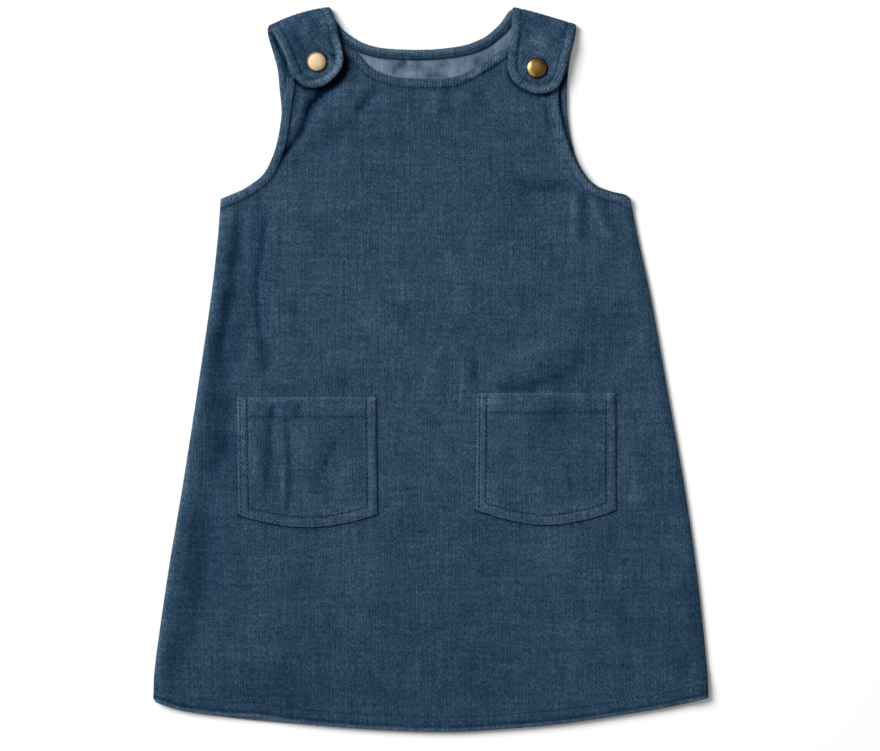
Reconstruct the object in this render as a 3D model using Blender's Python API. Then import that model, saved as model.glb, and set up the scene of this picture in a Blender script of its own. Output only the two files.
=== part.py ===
"""Child's corduroy pinafore dress, laid flat on its back with the front up.

The front and back are A-line panels sewn at the sides. The straps are cut in one with the back, fold over at
the shoulder and end in round tabs, which snap onto the front's shoulders. Two patch pockets lie on the front, and
bias facings line the edges of the back where they show inside the neck and armholes.

Tables and sizes are in millimetres: X across, Y from hem to shoulders, Z up from the floor. The origin is on the
floor under the middle of the dress.
"""
import math

import bpy
import numpy as np
from mathutils import Vector
from mathutils.geometry import delaunay_2d_cdt

MM = 0.001                 # metres in a millimetre

# Walls and clearances
CLOTH = 1.4                # one layer of cord
EDGE = 2.4                 # a turned, stitched edge or a hem
STRAP = 2.2                # a strap: cord and its facing, pressed
FACING = 1.0               # a bias facing
GAP = 0.3                  # between pieces that are sewn together or lie on each other

# Seams and hems
HEM_DEPTH = 11.0           # turned up at the bottom
TURN_DEPTH = 6.5           # turned in at the front's neck and armholes
SEAM_RIDGE = 1.5           # how far the seam allowances lift the front along its sides
FACING_WIDTH = 7.0
POCKET_HEM = 14.5          # turned down at a pocket's mouth

# Shoulder fold and snaps
FOLD_RADIUS = 2.7          # outside of the fold
FOLD_ROWS = 6              # flats round the fold
TAB_LIFT = 3.5             # how far a tab climbs from the fold to its snap
CAP_RADIUS = 7.5
CAP_HEIGHT = 2.2
POST_RADIUS = 2.2
SOCKET_RADIUS = 5.5
SNAP_SIDES = 24

# The A-line: its width at each height
SIDES = [
    # height, left edge, right edge
    (127.0, -157.5, 149.3),
    (96.0, -159.8, 155.3),
    (51.0, -165.0, 165.0),
    (-16.0, -174.8, 177.0),
    (-84.0, -185.3, 189.0),
    (-151.0, -196.5, 198.8),
    (-219.0, -206.2, 206.2),
    (-247.0, -208.0, 208.0),
]
HEM = [
    # across, height of the back's hem, height of the front's hem
    (-206.0, -250.5, -250.0),
    (-185.0, -256.8, -256.6),
    (-151.0, -261.4, -260.6),
    (-128.0, -263.8, -261.6),
    (-103.0, -265.9, -265.4),
    (-48.0, -270.3, -270.1),
    (10.0, -272.4, -272.2),
    (54.0, -270.3, -270.1),
    (102.0, -265.9, -265.7),
    (161.0, -256.9, -256.7),
    (186.0, -252.2, -252.0),
    (208.0, -247.0, -246.8),
]
# Armholes, from the underarm up. The back's edge stands out past the front's near the shoulder.
ARMHOLE_FRONT_LEFT = [(-157.5, 127.0), (-143.6, 132.8), (-134.5, 138.0), (-124.7, 146.5), (-117.3, 162.0),
                      (-113.6, 177.0), (-111.2, 193.7), (-109.2, 207.4), (-107.6, 219.0), (-107.6, 232.0),
                      (-108.2, 247.0)]
ARMHOLE_BACK_LEFT = [(-157.5, 126.6), (-143.6, 132.2), (-134.0, 137.2), (-124.0, 146.0), (-116.6, 162.0),
                     (-112.9, 177.0), (-111.8, 192.4), (-113.3, 209.0), (-114.8, 224.0), (-117.8, 235.5),
                     (-121.3, 247.0), (-123.2, 256.3)]
ARMHOLE_FRONT_RIGHT = [(149.3, 127.0), (145.5, 130.1), (135.8, 132.4), (126.8, 135.4), (119.7, 139.8),
                       (114.2, 146.8), (107.8, 157.2), (102.6, 170.6), (98.8, 184.5), (96.4, 196.2),
                       (96.0, 212.0), (96.6, 226.0), (97.6, 246.0)]
ARMHOLE_BACK_RIGHT = [(149.3, 126.6), (145.2, 129.6), (135.4, 131.9), (127.4, 135.0), (120.8, 139.4),
                      (115.8, 144.8), (109.5, 156.0), (105.6, 168.6), (103.2, 181.1), (101.7, 196.0),
                      (102.0, 214.0), (104.3, 233.0), (107.5, 246.5), (109.3, 257.9)]
# Necklines, from the right shoulder to the left
NECK_FRONT = [(68.0, 250.0), (64.6, 247.0), (56.3, 240.4), (48.0, 235.1), (40.5, 229.9), (29.3, 223.1),
              (21.0, 219.2), (12.0, 217.3), (0.0, 216.8), (-13.0, 217.0), (-26.3, 218.3), (-36.5, 220.9),
              (-44.3, 225.0), (-50.2, 230.6), (-55.2, 236.2), (-60.8, 239.9), (-66.4, 244.0), (-73.6, 249.4)]
NECK_BACK = [(61.2, 271.4), (56.3, 264.6), (51.0, 257.4), (42.8, 250.0), (36.0, 246.2), (24.8, 242.1),
             (6.8, 239.5), (-9.8, 238.8), (-27.0, 239.3), (-38.3, 240.4), (-49.5, 243.4), (-57.0, 247.2),
             (-64.5, 252.6), (-69.8, 258.5), (-73.5, 265.0), (-75.8, 271.3)]
# Each strap: the two ends of its shoulder fold, the tab as it lies on the front, from the fold's outer end round
# to its inner end, and the snap's centre. "bow" is how far the fold bows out, "droop" how far the tip hangs down,
# "curl" how far its inner corner curls up.
STRAPS = {
    "left": {
        "outer": (-123.2, 256.3), "inner": (-75.8, 271.3), "bow": 2.2, "droop": 0.0, "curl": 4.2,
        "snap": (-85.5, 229.7),
        "tab": [(-117.4, 250.0), (-111.0, 238.6), (-105.6, 225.0), (-101.2, 217.2), (-95.5, 212.0),
                (-88.5, 210.2), (-81.8, 211.3), (-75.8, 214.6), (-70.9, 219.0), (-67.1, 224.6),
                (-65.6, 231.0), (-66.8, 239.5), (-69.4, 250.0), (-71.8, 261.0)],
    },
    "right": {
        "outer": (109.3, 257.9), "inner": (61.2, 271.4), "bow": 0.3, "droop": 1.0, "curl": 0.0,
        "snap": (79.4, 224.8),
        "tab": [(105.9, 245.5), (102.0, 231.2), (99.8, 221.5), (97.0, 214.0), (92.4, 208.8), (84.6, 206.0),
                (77.5, 206.4), (70.5, 208.9), (63.6, 213.4), (59.0, 220.6), (58.0, 230.5), (59.3, 245.0),
                (60.7, 259.0)],
    },
}
# Where the bias facings of the back armholes begin, at the height where the front no longer covers them
FACING_FOOT = {"left": 187.0, "right": 136.5}

# Patch pockets: the mouth's two ends, the bottom's two corners and how far the bottom bows down
POCKETS = {
    "left": {"mouth": ((-145.0, -21.6), (-41.2, -21.6)), "bottom": ((-144.0, -109.5), (-40.2, -109.0)), "bow": 9.4},
    "right": {"mouth": ((34.6, -18.6), (138.2, -18.4)), "bottom": ((33.8, -105.6), (138.6, -105.8)), "bow": 11.2},
}

# The largest folds of the front: a soft trough (below zero) or ridge along a line
FOLDS = [
    # start, end, half-width, height
    ((-88.0, 202.0), (-99.0, 180.0), 6.0, -1.1),
    ((-99.0, 180.0), (-115.0, 152.0), 6.0, -1.0),
    ((-139.0, 122.0), (-143.0, 80.0), 5.5, -0.9),
    ((-143.0, 80.0), (-155.0, 16.0), 7.0, -0.8),
    ((-127.0, 128.0), (-129.0, 98.0), 5.0, -0.6),
    ((114.0, 134.0), (118.0, 96.0), 6.0, -0.9),
    ((127.0, 126.0), (136.0, 92.0), 5.5, -0.6),
    ((-70.0, 150.0), (20.0, 170.0), 26.0, 0.5),
    ((-30.0, 70.0), (-45.0, -120.0), 24.0, -0.4),
    ((40.0, 80.0), (20.0, -200.0), 30.0, 0.6),
    ((150.0, -60.0), (165.0, -220.0), 20.0, 0.5),
    ((-110.0, -150.0), (-125.0, -245.0), 20.0, 0.6),
    ((-165.0, -90.0), (-182.0, -235.0), 12.0, -0.5),
]


# ---------------------------------------------------------------- curves and distances

def spline(points, step):
    """A smooth curve through the points, with evenly spaced points about a step apart, ends kept."""
    p = np.array(points, float)
    p = np.vstack([2 * p[0] - p[1], p, 2 * p[-1] - p[-2]])
    rows = []
    for a, b, c, d in zip(p, p[1:], p[2:], p[3:]):
        for t in np.linspace(0, 1, 12, endpoint=False):
            rows.append(0.5 * (2 * b + (c - a) * t + (2 * a - 5 * b + 4 * c - d) * t ** 2
                               + (3 * b - 3 * c + d - a) * t ** 3))
    return evenly(np.array(rows + [p[-2]]), step)


def evenly(line, step):
    """The same line with points about a step apart along it, ends kept."""
    along = np.concatenate([[0], np.cumsum(np.linalg.norm(np.diff(line, axis=0), axis=1))])
    at = np.linspace(0, along[-1], max(2, round(along[-1] / step)) + 1)
    return np.column_stack([np.interp(at, along, line[:, i]) for i in range(2)])


def distance(points, line):
    """How far each point is from a line of points."""
    best = np.full(len(points), 1e9)
    for a, b in zip(line[:-1], line[1:]):
        run = b - a
        t = np.clip((points - a) @ run / max(run @ run, 1e-9), 0, 1)
        best = np.minimum(best, np.linalg.norm(points - a - t[:, None] * run, axis=1))
    return best


def inside(points, loop):
    """Which points lie inside a closed loop."""
    odd = np.zeros(len(points), bool)
    x, y = points[:, 0], points[:, 1]
    for (ax, ay), (bx, by) in zip(loop, np.roll(loop, -1, axis=0)):
        if ay != by:
            odd ^= ((ay > y) != (by > y)) & (x < (bx - ax) * (y - ay) / (by - ay) + ax)
    return odd


def ease(low, high, value):
    """0 below low, 1 above high, and a smooth step between them. Low may be above high."""
    t = np.clip((value - low) / (high - low), 0, 1)
    return t * t * (3 - 2 * t)


def join(*lines):
    """One closed loop from lines that run on from each other, without repeated points."""
    loop = []
    for point in np.vstack(lines):
        if not loop or np.linalg.norm(point - loop[-1]) > 0.8:
            loop.append(point)
    if np.linalg.norm(loop[0] - loop[-1]) <= 0.8:
        loop.pop()
    return np.array(loop)


# ---------------------------------------------------------------- outlines

def side(column, inset):
    """A side edge from the underarm to the hem, moved in towards the middle."""
    return [(row[column] - math.copysign(inset, row[column]), row[0]) for row in SIDES]


SIDE_STEP = 13.0
CURVE_STEP = 6.5
BACK_INSET = 0.6

front_side_left = spline(side(1, 0.0), SIDE_STEP)
front_side_right = spline(side(2, 0.0), SIDE_STEP)
front_hem = spline([(x, front) for x, back, front in HEM], SIDE_STEP)
front_neck = spline(NECK_FRONT, CURVE_STEP)
front_armholes = {"left": spline(ARMHOLE_FRONT_LEFT, CURVE_STEP), "right": spline(ARMHOLE_FRONT_RIGHT, CURVE_STEP)}

back_side_left = spline(side(1, BACK_INSET), SIDE_STEP)
back_side_right = spline(side(2, BACK_INSET), SIDE_STEP)
back_hem = spline([(x * 0.997, back) for x, back, front in HEM], SIDE_STEP)
back_neck = spline(NECK_BACK, CURVE_STEP)
back_armholes = {"left": spline(ARMHOLE_BACK_LEFT, CURVE_STEP), "right": spline(ARMHOLE_BACK_RIGHT, CURVE_STEP)}

front_loop = join(front_hem, front_side_right[::-1], front_armholes["right"], front_neck,
                  front_armholes["left"][::-1], front_side_left)


# ---------------------------------------------------------------- straps: flat pattern and fold

class Fold:
    """A strap's shoulder fold. U runs along it from the outer to the inner end, and S across it, away from the
    body. A flat strap is bent from S = -FOLD_RADIUS on, over the top, and comes back over the front."""

    def __init__(self, outer, inner, bow, droop, curl, snap, **rest):
        outer, inner = np.array(outer), np.array(inner)
        self.middle = (outer + inner) / 2
        self.half = np.linalg.norm(inner - outer) / 2
        self.along = (inner - outer) / (2 * self.half)
        self.out = np.array([-self.along[1], self.along[0]]) * (1 if self.along[0] > 0 else -1)
        self.bow, self.droop, self.curl = bow, droop, curl
        self.core = FOLD_RADIUS - STRAP / 2
        self.end = -FOLD_RADIUS + math.pi * self.core
        (self.snap_u,), (snap_s,) = self.local(snap)
        self.snap_v = -snap_s

    def local(self, points):
        away = np.atleast_2d(points) - self.middle
        return away @ self.along, away @ self.out

    def flat(self, u, s):
        return self.middle + np.outer(u, self.along) + np.outer(s, self.out)

    def unfolded(self, points):
        """Points of the tab as it lies, put back where they are in the flat pattern."""
        u, s = self.local(points)
        return self.flat(u, self.end - FOLD_RADIUS - s)

    def lift(self, u, v):
        """How far the tab's middle layer is above where the fold leaves it, V from the fold's outside."""
        tip = ease(48, 58, v) * ease(-20, -5, u)
        curl = self.curl * ease(CAP_RADIUS + 1.5, 23, u - self.snap_u + 0.6 * (v - self.snap_v))
        return TAB_LIFT * ease(FOLD_RADIUS, 17, v) - self.droop * tip + curl

    def bent(self, u, s):
        """Middle and outward normal of the strap at flat places."""
        turn = np.clip((s + FOLD_RADIUS) / self.core, 0, math.pi)
        v = FOLD_RADIUS + np.maximum(s - self.end, 0)
        across = np.minimum(s, -FOLD_RADIUS) + self.core * np.sin(turn) - (v - FOLD_RADIUS)
        near = ease(-25, -FOLD_RADIUS, s) * ease(self.end + 22, self.end, s)
        across = across + self.bow * near * np.clip(1 - (u / self.half) ** 2, 0, 1)
        height = FOLD_RADIUS - self.core * np.cos(turn) + np.where(s > self.end, self.lift(u, v), 0)
        plane = self.flat(u, across)
        middle = np.column_stack([plane, height])
        normal = np.column_stack([np.sin(turn)[:, None] * self.out, -np.cos(turn)])
        return middle, normal


folds = {name: Fold(**strap) for name, strap in STRAPS.items()}


def strap_loop(name):
    """The flat strap's edge past the start of its fold, from the outer side round the tip to the inner side."""
    fold = folds[name]
    tab = np.array([STRAPS[name]["outer"]] + STRAPS[name]["tab"] + [STRAPS[name]["inner"]])
    tab = spline(tab, 5.0)
    u, s = fold.local(tab)
    kept = tab[-s > FOLD_RADIUS + 1.5]
    ends = [np.interp(FOLD_RADIUS, *zip(*sorted(zip(-s[half], u[half])))) for half in (slice(0, 6), slice(-6, None))]
    rows = np.linspace(-FOLD_RADIUS, fold.end, FOLD_ROWS + 1)
    up = fold.flat(np.linspace(-fold.half + 0.2, ends[0], FOLD_ROWS + 1), rows)
    down = fold.flat(np.linspace(fold.half - 0.2, ends[1], FOLD_ROWS + 1), rows)[::-1]
    return np.vstack([up, fold.unfolded(kept), down])


def below_fold(line, name):
    """The part of a back edge that lies before the strap begins to bend."""
    return line[folds[name].local(line)[1] < -FOLD_RADIUS - 2.0]


strap_loops = {name: strap_loop(name) for name in STRAPS}
neck_between = below_fold(below_fold(back_neck, "left"), "right")
back_loop = join(back_hem, back_side_right[::-1], below_fold(back_armholes["right"], "right"), strap_loops["right"],
                 neck_between, strap_loops["left"][::-1], below_fold(back_armholes["left"], "left")[::-1],
                 back_side_left)


# ---------------------------------------------------------------- heights

def back_inner(points):
    """Top of the back panel: one layer, doubled at the hem and thicker up the straps."""
    hem = ease(HEM_DEPTH + 2.5, HEM_DEPTH - 1.0, distance(points, back_hem))
    return CLOTH + (EDGE - CLOTH) * hem + (STRAP - CLOTH) * ease(150, 205, points[:, 1])


def fold_relief(points):
    """The largest folds of the front, fading out along its edges."""
    relief = np.zeros(len(points))
    for start, end, half_width, height in FOLDS:
        line = np.array([start, end], float)
        relief += height * np.exp(-(distance(points, line) / half_width) ** 2)
    return relief * ease(2, 14, distance(points, np.vstack([front_loop, front_loop[:1]])))


def front_inner(points):
    """Underside of the front: just clear of the back, its hem, its straps and their facings."""
    edge_left = distance(points, back_armholes["left"])
    edge_right = distance(points, back_armholes["right"])
    height = points[:, 1]
    over_facing = np.maximum(ease(17, 9, edge_left) * ease(168, 184, height),
                             ease(17, 9, edge_right) * ease(116, 133, height))
    rest = CLOTH + GAP + (STRAP - CLOTH) * ease(135, 190, height)
    hem = (EDGE - CLOTH) * ease(2.4 * HEM_DEPTH, 1.4 * HEM_DEPTH, distance(points, front_hem))
    from_side = np.minimum(distance(points, front_side_left), distance(points, front_side_right))
    ridge = SEAM_RIDGE * ease(0, 6, from_side) * ease(20, 9, from_side)
    field = 0.8 * ease(0, 16, from_side) * ease(0, 30, distance(points, front_hem)) * ease(225, 195, height)
    return rest + hem + np.maximum(ridge, np.maximum(field, (FACING + GAP) * over_facing)) + 0.1


def front_wall(points):
    """Thickness of the front: doubled along the hem, neck and armholes."""
    turned = ease(HEM_DEPTH + 2.5, HEM_DEPTH - 0.5, distance(points, front_hem))
    for line in (front_neck, front_armholes["left"], front_armholes["right"]):
        turned = np.maximum(turned, ease(TURN_DEPTH + 2.0, TURN_DEPTH - 0.5, distance(points, line)))
    return CLOTH + (EDGE - CLOTH) * turned * ease(249, 240, points[:, 1])


def front_outer(points):
    return front_inner(points) + fold_relief(points) + front_wall(points)


# ---------------------------------------------------------------- walls

def fill(loop, depths, pitch, step):
    """Points inside a loop: rows that follow its edge at the given depths, then a grid of triangles."""
    closed = np.vstack([loop, loop[:1]])
    chosen = []
    run = np.roll(loop, -1, axis=0) - np.roll(loop, 1, axis=0)
    inward = np.column_stack([-run[:, 1], run[:, 0]]) / np.linalg.norm(run, axis=1)[:, None]
    for depth in depths:
        row = evenly(np.vstack([loop + inward * depth, (loop + inward * depth)[:1]]), step)
        row = row[inside(row, loop)]
        row = row[distance(row, closed) > 0.93 * depth]
        for point in row:
            if all(np.linalg.norm(point - other) > 0.6 * min(step, max(depth, 3.0)) for other in chosen[-400:]):
                chosen.append(point)
    low, high = loop.min(axis=0), loop.max(axis=0)
    grid = []
    for i, y in enumerate(np.arange(low[1], high[1], pitch * 0.866)):
        for x in np.arange(low[0] + (i % 2) * pitch / 2, high[0], pitch):
            grid.append((x, y))
    grid = np.array(grid)
    grid = grid[inside(grid, loop)]
    grid = grid[distance(grid, closed) > (depths[-1] if depths else 0) + 0.55 * pitch]
    return np.vstack([np.array(chosen), grid])


def triangles(loop, extra, holes=()):
    """Points and triangles of a flat region: its loop, points inside it, and its holes."""
    points, edges = [], []
    for line in (loop, *holes):
        first = len(points)
        points += [Vector(p) for p in line]
        edges += [(first + i, first + (i + 1) % len(line)) for i in range(len(line))]
    points += [Vector(p) for p in extra]
    flat, _, faces, _, _, _ = delaunay_2d_cdt(points, edges, [], 1, 1e-5)
    flat = np.array([tuple(p) for p in flat])
    faces = np.array([tuple(f) for f in faces])
    centres = flat[faces].mean(axis=1)
    kept = inside(centres, loop)
    for hole in holes:
        kept &= ~inside(centres, hole)
    a, b, c = (flat[faces[:, i]] for i in range(3))
    turn = (b[:, 0] - a[:, 0]) * (c[:, 1] - a[:, 1]) - (b[:, 1] - a[:, 1]) * (c[:, 0] - a[:, 0])
    kept &= np.abs(turn) > 1e-6
    faces = np.where(turn[:, None] > 0, faces, faces[:, ::-1])
    return flat, faces[kept]


def wall(name, lower, upper, faces, material):
    """A closed wall between two layers of the same triangles, the upper one facing up."""
    count = len(lower)
    sides = {}
    for a, b, c in faces:
        for edge in ((a, b), (b, c), (c, a)):
            sides[tuple(edge)] = True
    rim = [(a, b) for a, b in sides if (b, a) not in sides]
    polygons = [tuple(int(i) + count for i in face) for face in faces]
    polygons += [tuple(int(i) for i in face[::-1]) for face in faces]
    polygons += [(int(a), int(b), int(b) + count, int(a) + count) for a, b in rim]
    used = sorted({i for polygon in polygons for i in polygon})
    renumber = {old: new for new, old in enumerate(used)}
    points = np.vstack([lower, upper]) * MM
    return add_mesh(name, points[used], [[renumber[i] for i in polygon] for polygon in polygons], material)


def add_mesh(name, points, polygons, material):
    mesh = bpy.data.meshes.new(name)
    mesh.from_pydata([tuple(p) for p in points], [], polygons)
    mesh.validate()
    mesh.shade_smooth()
    mesh.set_sharp_from_angle(angle=math.radians(50))
    mesh.materials.append(material)
    thing = bpy.data.objects.new(name, mesh)
    bpy.context.scene.collection.objects.link(thing)
    return thing


# ---------------------------------------------------------------- materials

def finish(name, colour, roughness, metallic=0.0):
    """A plain Principled finish, with a colour in linear light."""
    material = bpy.data.materials.new(name)
    material.use_nodes = True
    shader = material.node_tree.nodes["Principled BSDF"]
    shader.inputs["Base Color"].default_value = (*colour, 1.0)
    shader.inputs["Roughness"].default_value = roughness
    shader.inputs["Metallic"].default_value = metallic
    material.diffuse_color = (*colour, 1.0)
    return material


# ---------------------------------------------------------------- pieces

def make_front(cord):
    extra = fill(front_loop, (2.5, 7.5, 13.0), 15.0, 11.0)
    flat, faces = triangles(front_loop, extra)
    inner = front_inner(flat) + fold_relief(flat)
    return wall("front_panel", np.column_stack([flat, inner]), np.column_stack([flat, front_outer(flat)]), faces,
                cord)


def make_back(cord):
    """The back with its straps: cut flat, then bent over at the shoulder folds."""
    rows = []
    for fold in folds.values():
        across = np.arange(-18.0, 18.1, 6.0)
        for s in np.linspace(-FOLD_RADIUS, fold.end, FOLD_ROWS + 1):
            rows.append(fold.flat(across, np.full(len(across), s)))
        for v in (10.0, 14.0, 18.0):
            rows.append(fold.flat(across, np.full(len(across), fold.end + v - FOLD_RADIUS)))
    rows = np.vstack(rows)
    extra = fill(back_loop, (10.5, 13.5), 22.0, 14.0)
    extra = extra[[np.min(np.linalg.norm(rows - point, axis=1)) > 4.0 for point in extra]]
    holes = [circle(fold.unfolded(STRAPS[name]["snap"])[0], POST_RADIUS + GAP, fold) for name, fold in folds.items()]
    extra = np.vstack([extra, rows])
    extra = extra[[np.min(np.linalg.norm(np.vstack(holes) - point, axis=1)) > 3.0 for point in extra]]
    flat, faces = triangles(back_loop, extra, holes)
    top = back_inner(flat)
    lower = np.column_stack([flat, np.zeros(len(flat))])
    upper = np.column_stack([flat, top])
    for fold in folds.values():
        u, s = fold.local(flat)
        bent = (s > -25.0) & (np.abs(u) < 40.0)
        middle, normal = fold.bent(u[bent], s[bent])
        lower[bent] = middle + normal * STRAP / 2
        upper[bent] = middle - normal * STRAP / 2
    return wall("back_panel", lower, upper, faces, cord)


def circle(centre, radius, fold):
    """Points round a centre, lined up with the fold."""
    angles = np.linspace(0, 2 * math.pi, SNAP_SIDES // 2, endpoint=False)
    return centre + radius * (np.outer(np.cos(angles), fold.along) + np.outer(np.sin(angles), fold.out))


def make_facing(name, line, cord):
    """A bias facing: a strip on the back's inner face, from its edge inwards."""
    run = np.gradient(line, axis=0)
    inward = np.column_stack([-run[:, 1], run[:, 0]]) / np.linalg.norm(run, axis=1)[:, None]
    across = [0.5, 2.5, FACING_WIDTH / 2 + 0.5, FACING_WIDTH - 1.5, FACING_WIDTH]
    flat = np.vstack([line + inward * depth for depth in across])
    count = len(line)
    faces = []
    for row in range(len(across) - 1):
        for i in range(count - 1):
            a, b = row * count + i, row * count + i + 1
            faces += [(a, b, b + count), (a, b + count, a + count)]
    lower = back_inner(flat) + GAP
    return wall(name, np.column_stack([flat, lower]), np.column_stack([flat, lower + FACING]), np.array(faces), cord)


def pocket_loop(mouth, bottom, bow):
    """A pocket's outline: straight mouth and sides, round corners and a bowed bottom."""
    (left, right), (low_left, low_right) = np.array(mouth), np.array(bottom)
    t = np.linspace(0, 1, 13)
    curve = low_left + np.outer(t, low_right - low_left)
    curve[:, 1] -= bow * (1 - np.abs(2 * t - 1) ** 1.8)
    sides = evenly(np.array([right, left]), 8.0), evenly(np.array([left, curve[0]]), 8.0)
    return join(curve, evenly(np.array([curve[-1], right]), 8.0), *sides)


def make_pocket(name, sizes, cord):
    loop = pocket_loop(**sizes)
    mouth_height = np.mean([point[1] for point in sizes["mouth"]])
    flat, faces = triangles(loop, fill(loop, (2.5, 9.0), 13.0, 9.0))
    from_edge = distance(flat, np.vstack([loop, loop[:1]]))
    turned = ease(POCKET_HEM + 2, POCKET_HEM - 1, mouth_height - flat[:, 1])
    lower = front_outer(flat) + GAP + 0.15 + 0.7 * ease(2, 25, from_edge) + 0.5 * turned
    upper = lower + CLOTH + 0.8 * np.maximum(turned, ease(9, 6.5, from_edge))
    return wall(name, np.column_stack([flat, lower]), np.column_stack([flat, upper]), faces, cord)


def make_snap(side_name, brass):
    """A snap: its domed cap on the tab, and its post through the tab to the socket below."""
    fold = folds[side_name]
    centre = np.array(STRAPS[side_name]["snap"])
    middle, _ = fold.bent(*fold.local(fold.unfolded(centre)))
    tab_top = middle[0, 2] + STRAP / 2 + GAP
    tab_under = middle[0, 2] - STRAP / 2 - GAP
    front_top = front_outer(circle(centre, SOCKET_RADIUS + 4.0, fold)).max() + GAP
    profile = [(0.0, front_top), (SOCKET_RADIUS, front_top), (SOCKET_RADIUS, tab_under), (POST_RADIUS, tab_under),
               (POST_RADIUS, tab_top), (CAP_RADIUS - 0.4, tab_top), (CAP_RADIUS, tab_top + 0.35)]
    dome = [(CAP_RADIUS * math.cos(a), tab_top + 0.8 + (CAP_HEIGHT - 0.8) * math.sin(a))
            for a in np.radians((12, 30, 48, 66, 80))]
    profile += dome + [(0.0, tab_top + CAP_HEIGHT)]
    points, polygons, rings = [], [], []
    for radius, height in profile:
        sides = 1 if radius == 0 else SNAP_SIDES
        angles = np.arange(sides) * 2 * math.pi / SNAP_SIDES
        turn = np.outer(np.cos(angles), fold.along) + np.outer(np.sin(angles), fold.out)
        rings.append(range(len(points), len(points) + sides))
        points += [(*p, height) for p in centre + radius * turn]
    facing_up = np.cross(fold.along, fold.out) > 0
    for low, high in zip(rings, rings[1:]):
        for i in range(SNAP_SIDES):
            j = (i + 1) % SNAP_SIDES
            corners = [low[i % len(low)], low[j % len(low)], high[j % len(high)], high[i % len(high)]]
            corners = list(dict.fromkeys(corners))
            polygons.append(corners if facing_up else corners[::-1])
    return add_mesh("snap_" + side_name, np.array(points) * MM, polygons, brass)


def facing_line(side_name):
    """The back's armhole edge that an armhole facing follows, run so that the cloth is on its left."""
    line = spline({"left": ARMHOLE_BACK_LEFT, "right": ARMHOLE_BACK_RIGHT}[side_name], 6.0)
    line = below_fold(line[line[:, 1] > FACING_FOOT[side_name]], side_name)
    return line if side_name == "right" else line[::-1]


def neck_facing_line():
    line = spline(NECK_BACK, 6.0)
    return below_fold(below_fold(line, "left"), "right")


def main():
    for thing in list(bpy.data.objects):
        bpy.data.objects.remove(thing, do_unlink=True)
    cord = finish("cord_face", (0.031, 0.062, 0.104), 0.95)
    facing = finish("cord_facing", (0.034, 0.066, 0.108), 0.95)
    pale_brass = finish("brass_pale", (0.66, 0.50, 0.30), 0.4, 1.0)
    antique_brass = finish("brass_antique", (0.30, 0.19, 0.065), 0.35, 1.0)
    make_back(cord)
    make_facing("neck_facing", neck_facing_line(), facing)
    for side_name in STRAPS:
        make_facing("armhole_facing_" + side_name, facing_line(side_name), facing)
    make_front(cord)
    for side_name, sizes in POCKETS.items():
        make_pocket("pocket_" + side_name, sizes, cord)
    make_snap("left", pale_brass)
    make_snap("right", antique_brass)


main()
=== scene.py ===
"""The looks of a child's corduroy pinafore dress that lies flat on its back, front up.

Every piece of cloth is a thin shell on its solid's form, with real wales, turned edges, stitching and creases.
Tables and sizes are in millimetres in the frame of the CAD: X across, Y from hem to shoulders, Z up.
"""
import math

import bpy
import numpy as np
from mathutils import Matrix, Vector
from mathutils.geometry import delaunay_2d_cdt


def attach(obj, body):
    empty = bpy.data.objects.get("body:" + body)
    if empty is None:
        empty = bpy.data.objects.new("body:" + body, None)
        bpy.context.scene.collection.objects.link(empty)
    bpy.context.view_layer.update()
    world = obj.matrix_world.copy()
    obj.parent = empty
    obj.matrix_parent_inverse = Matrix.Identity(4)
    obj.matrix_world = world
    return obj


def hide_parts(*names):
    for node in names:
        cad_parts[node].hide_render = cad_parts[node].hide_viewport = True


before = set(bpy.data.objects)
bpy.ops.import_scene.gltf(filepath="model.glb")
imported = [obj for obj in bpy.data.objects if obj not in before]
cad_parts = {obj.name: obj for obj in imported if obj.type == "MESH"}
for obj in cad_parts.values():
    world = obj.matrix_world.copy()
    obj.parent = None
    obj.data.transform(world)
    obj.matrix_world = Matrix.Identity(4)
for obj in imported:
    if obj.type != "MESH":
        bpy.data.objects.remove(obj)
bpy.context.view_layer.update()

MM = 0.001


# ---------------------------------------------------------------- sizes shared with the CAD

CLOTH = 1.4                             # thickness of one layer
EDGE = 2.4                              # thickness along turned edges and hems
STRAP = 2.2
FACING = 1.0
GAP = 0.3                               # between pieces
HEM_DEPTH = 11.0
TURN_DEPTH = 6.5                        # how deep the neck and armholes are turned in
SEAM_RIDGE = 1.5
FACING_WIDTH = 7.0
POCKET_HEM = 14.5
FOLD_RADIUS = 2.7                       # of the outside of the straps' folds
TAB_LIFT = 3.5
CAP_RADIUS = 7.5
CAP_HEIGHT = 2.2
POST_RADIUS = 2.2
SOCKET_RADIUS = 5.5
BACK_INSET = 0.6                        # how far the back's sides lie inside the front's
BACK_HEM_SHARE = 0.997                  # the back hem's width, as a share of the front's

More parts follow.
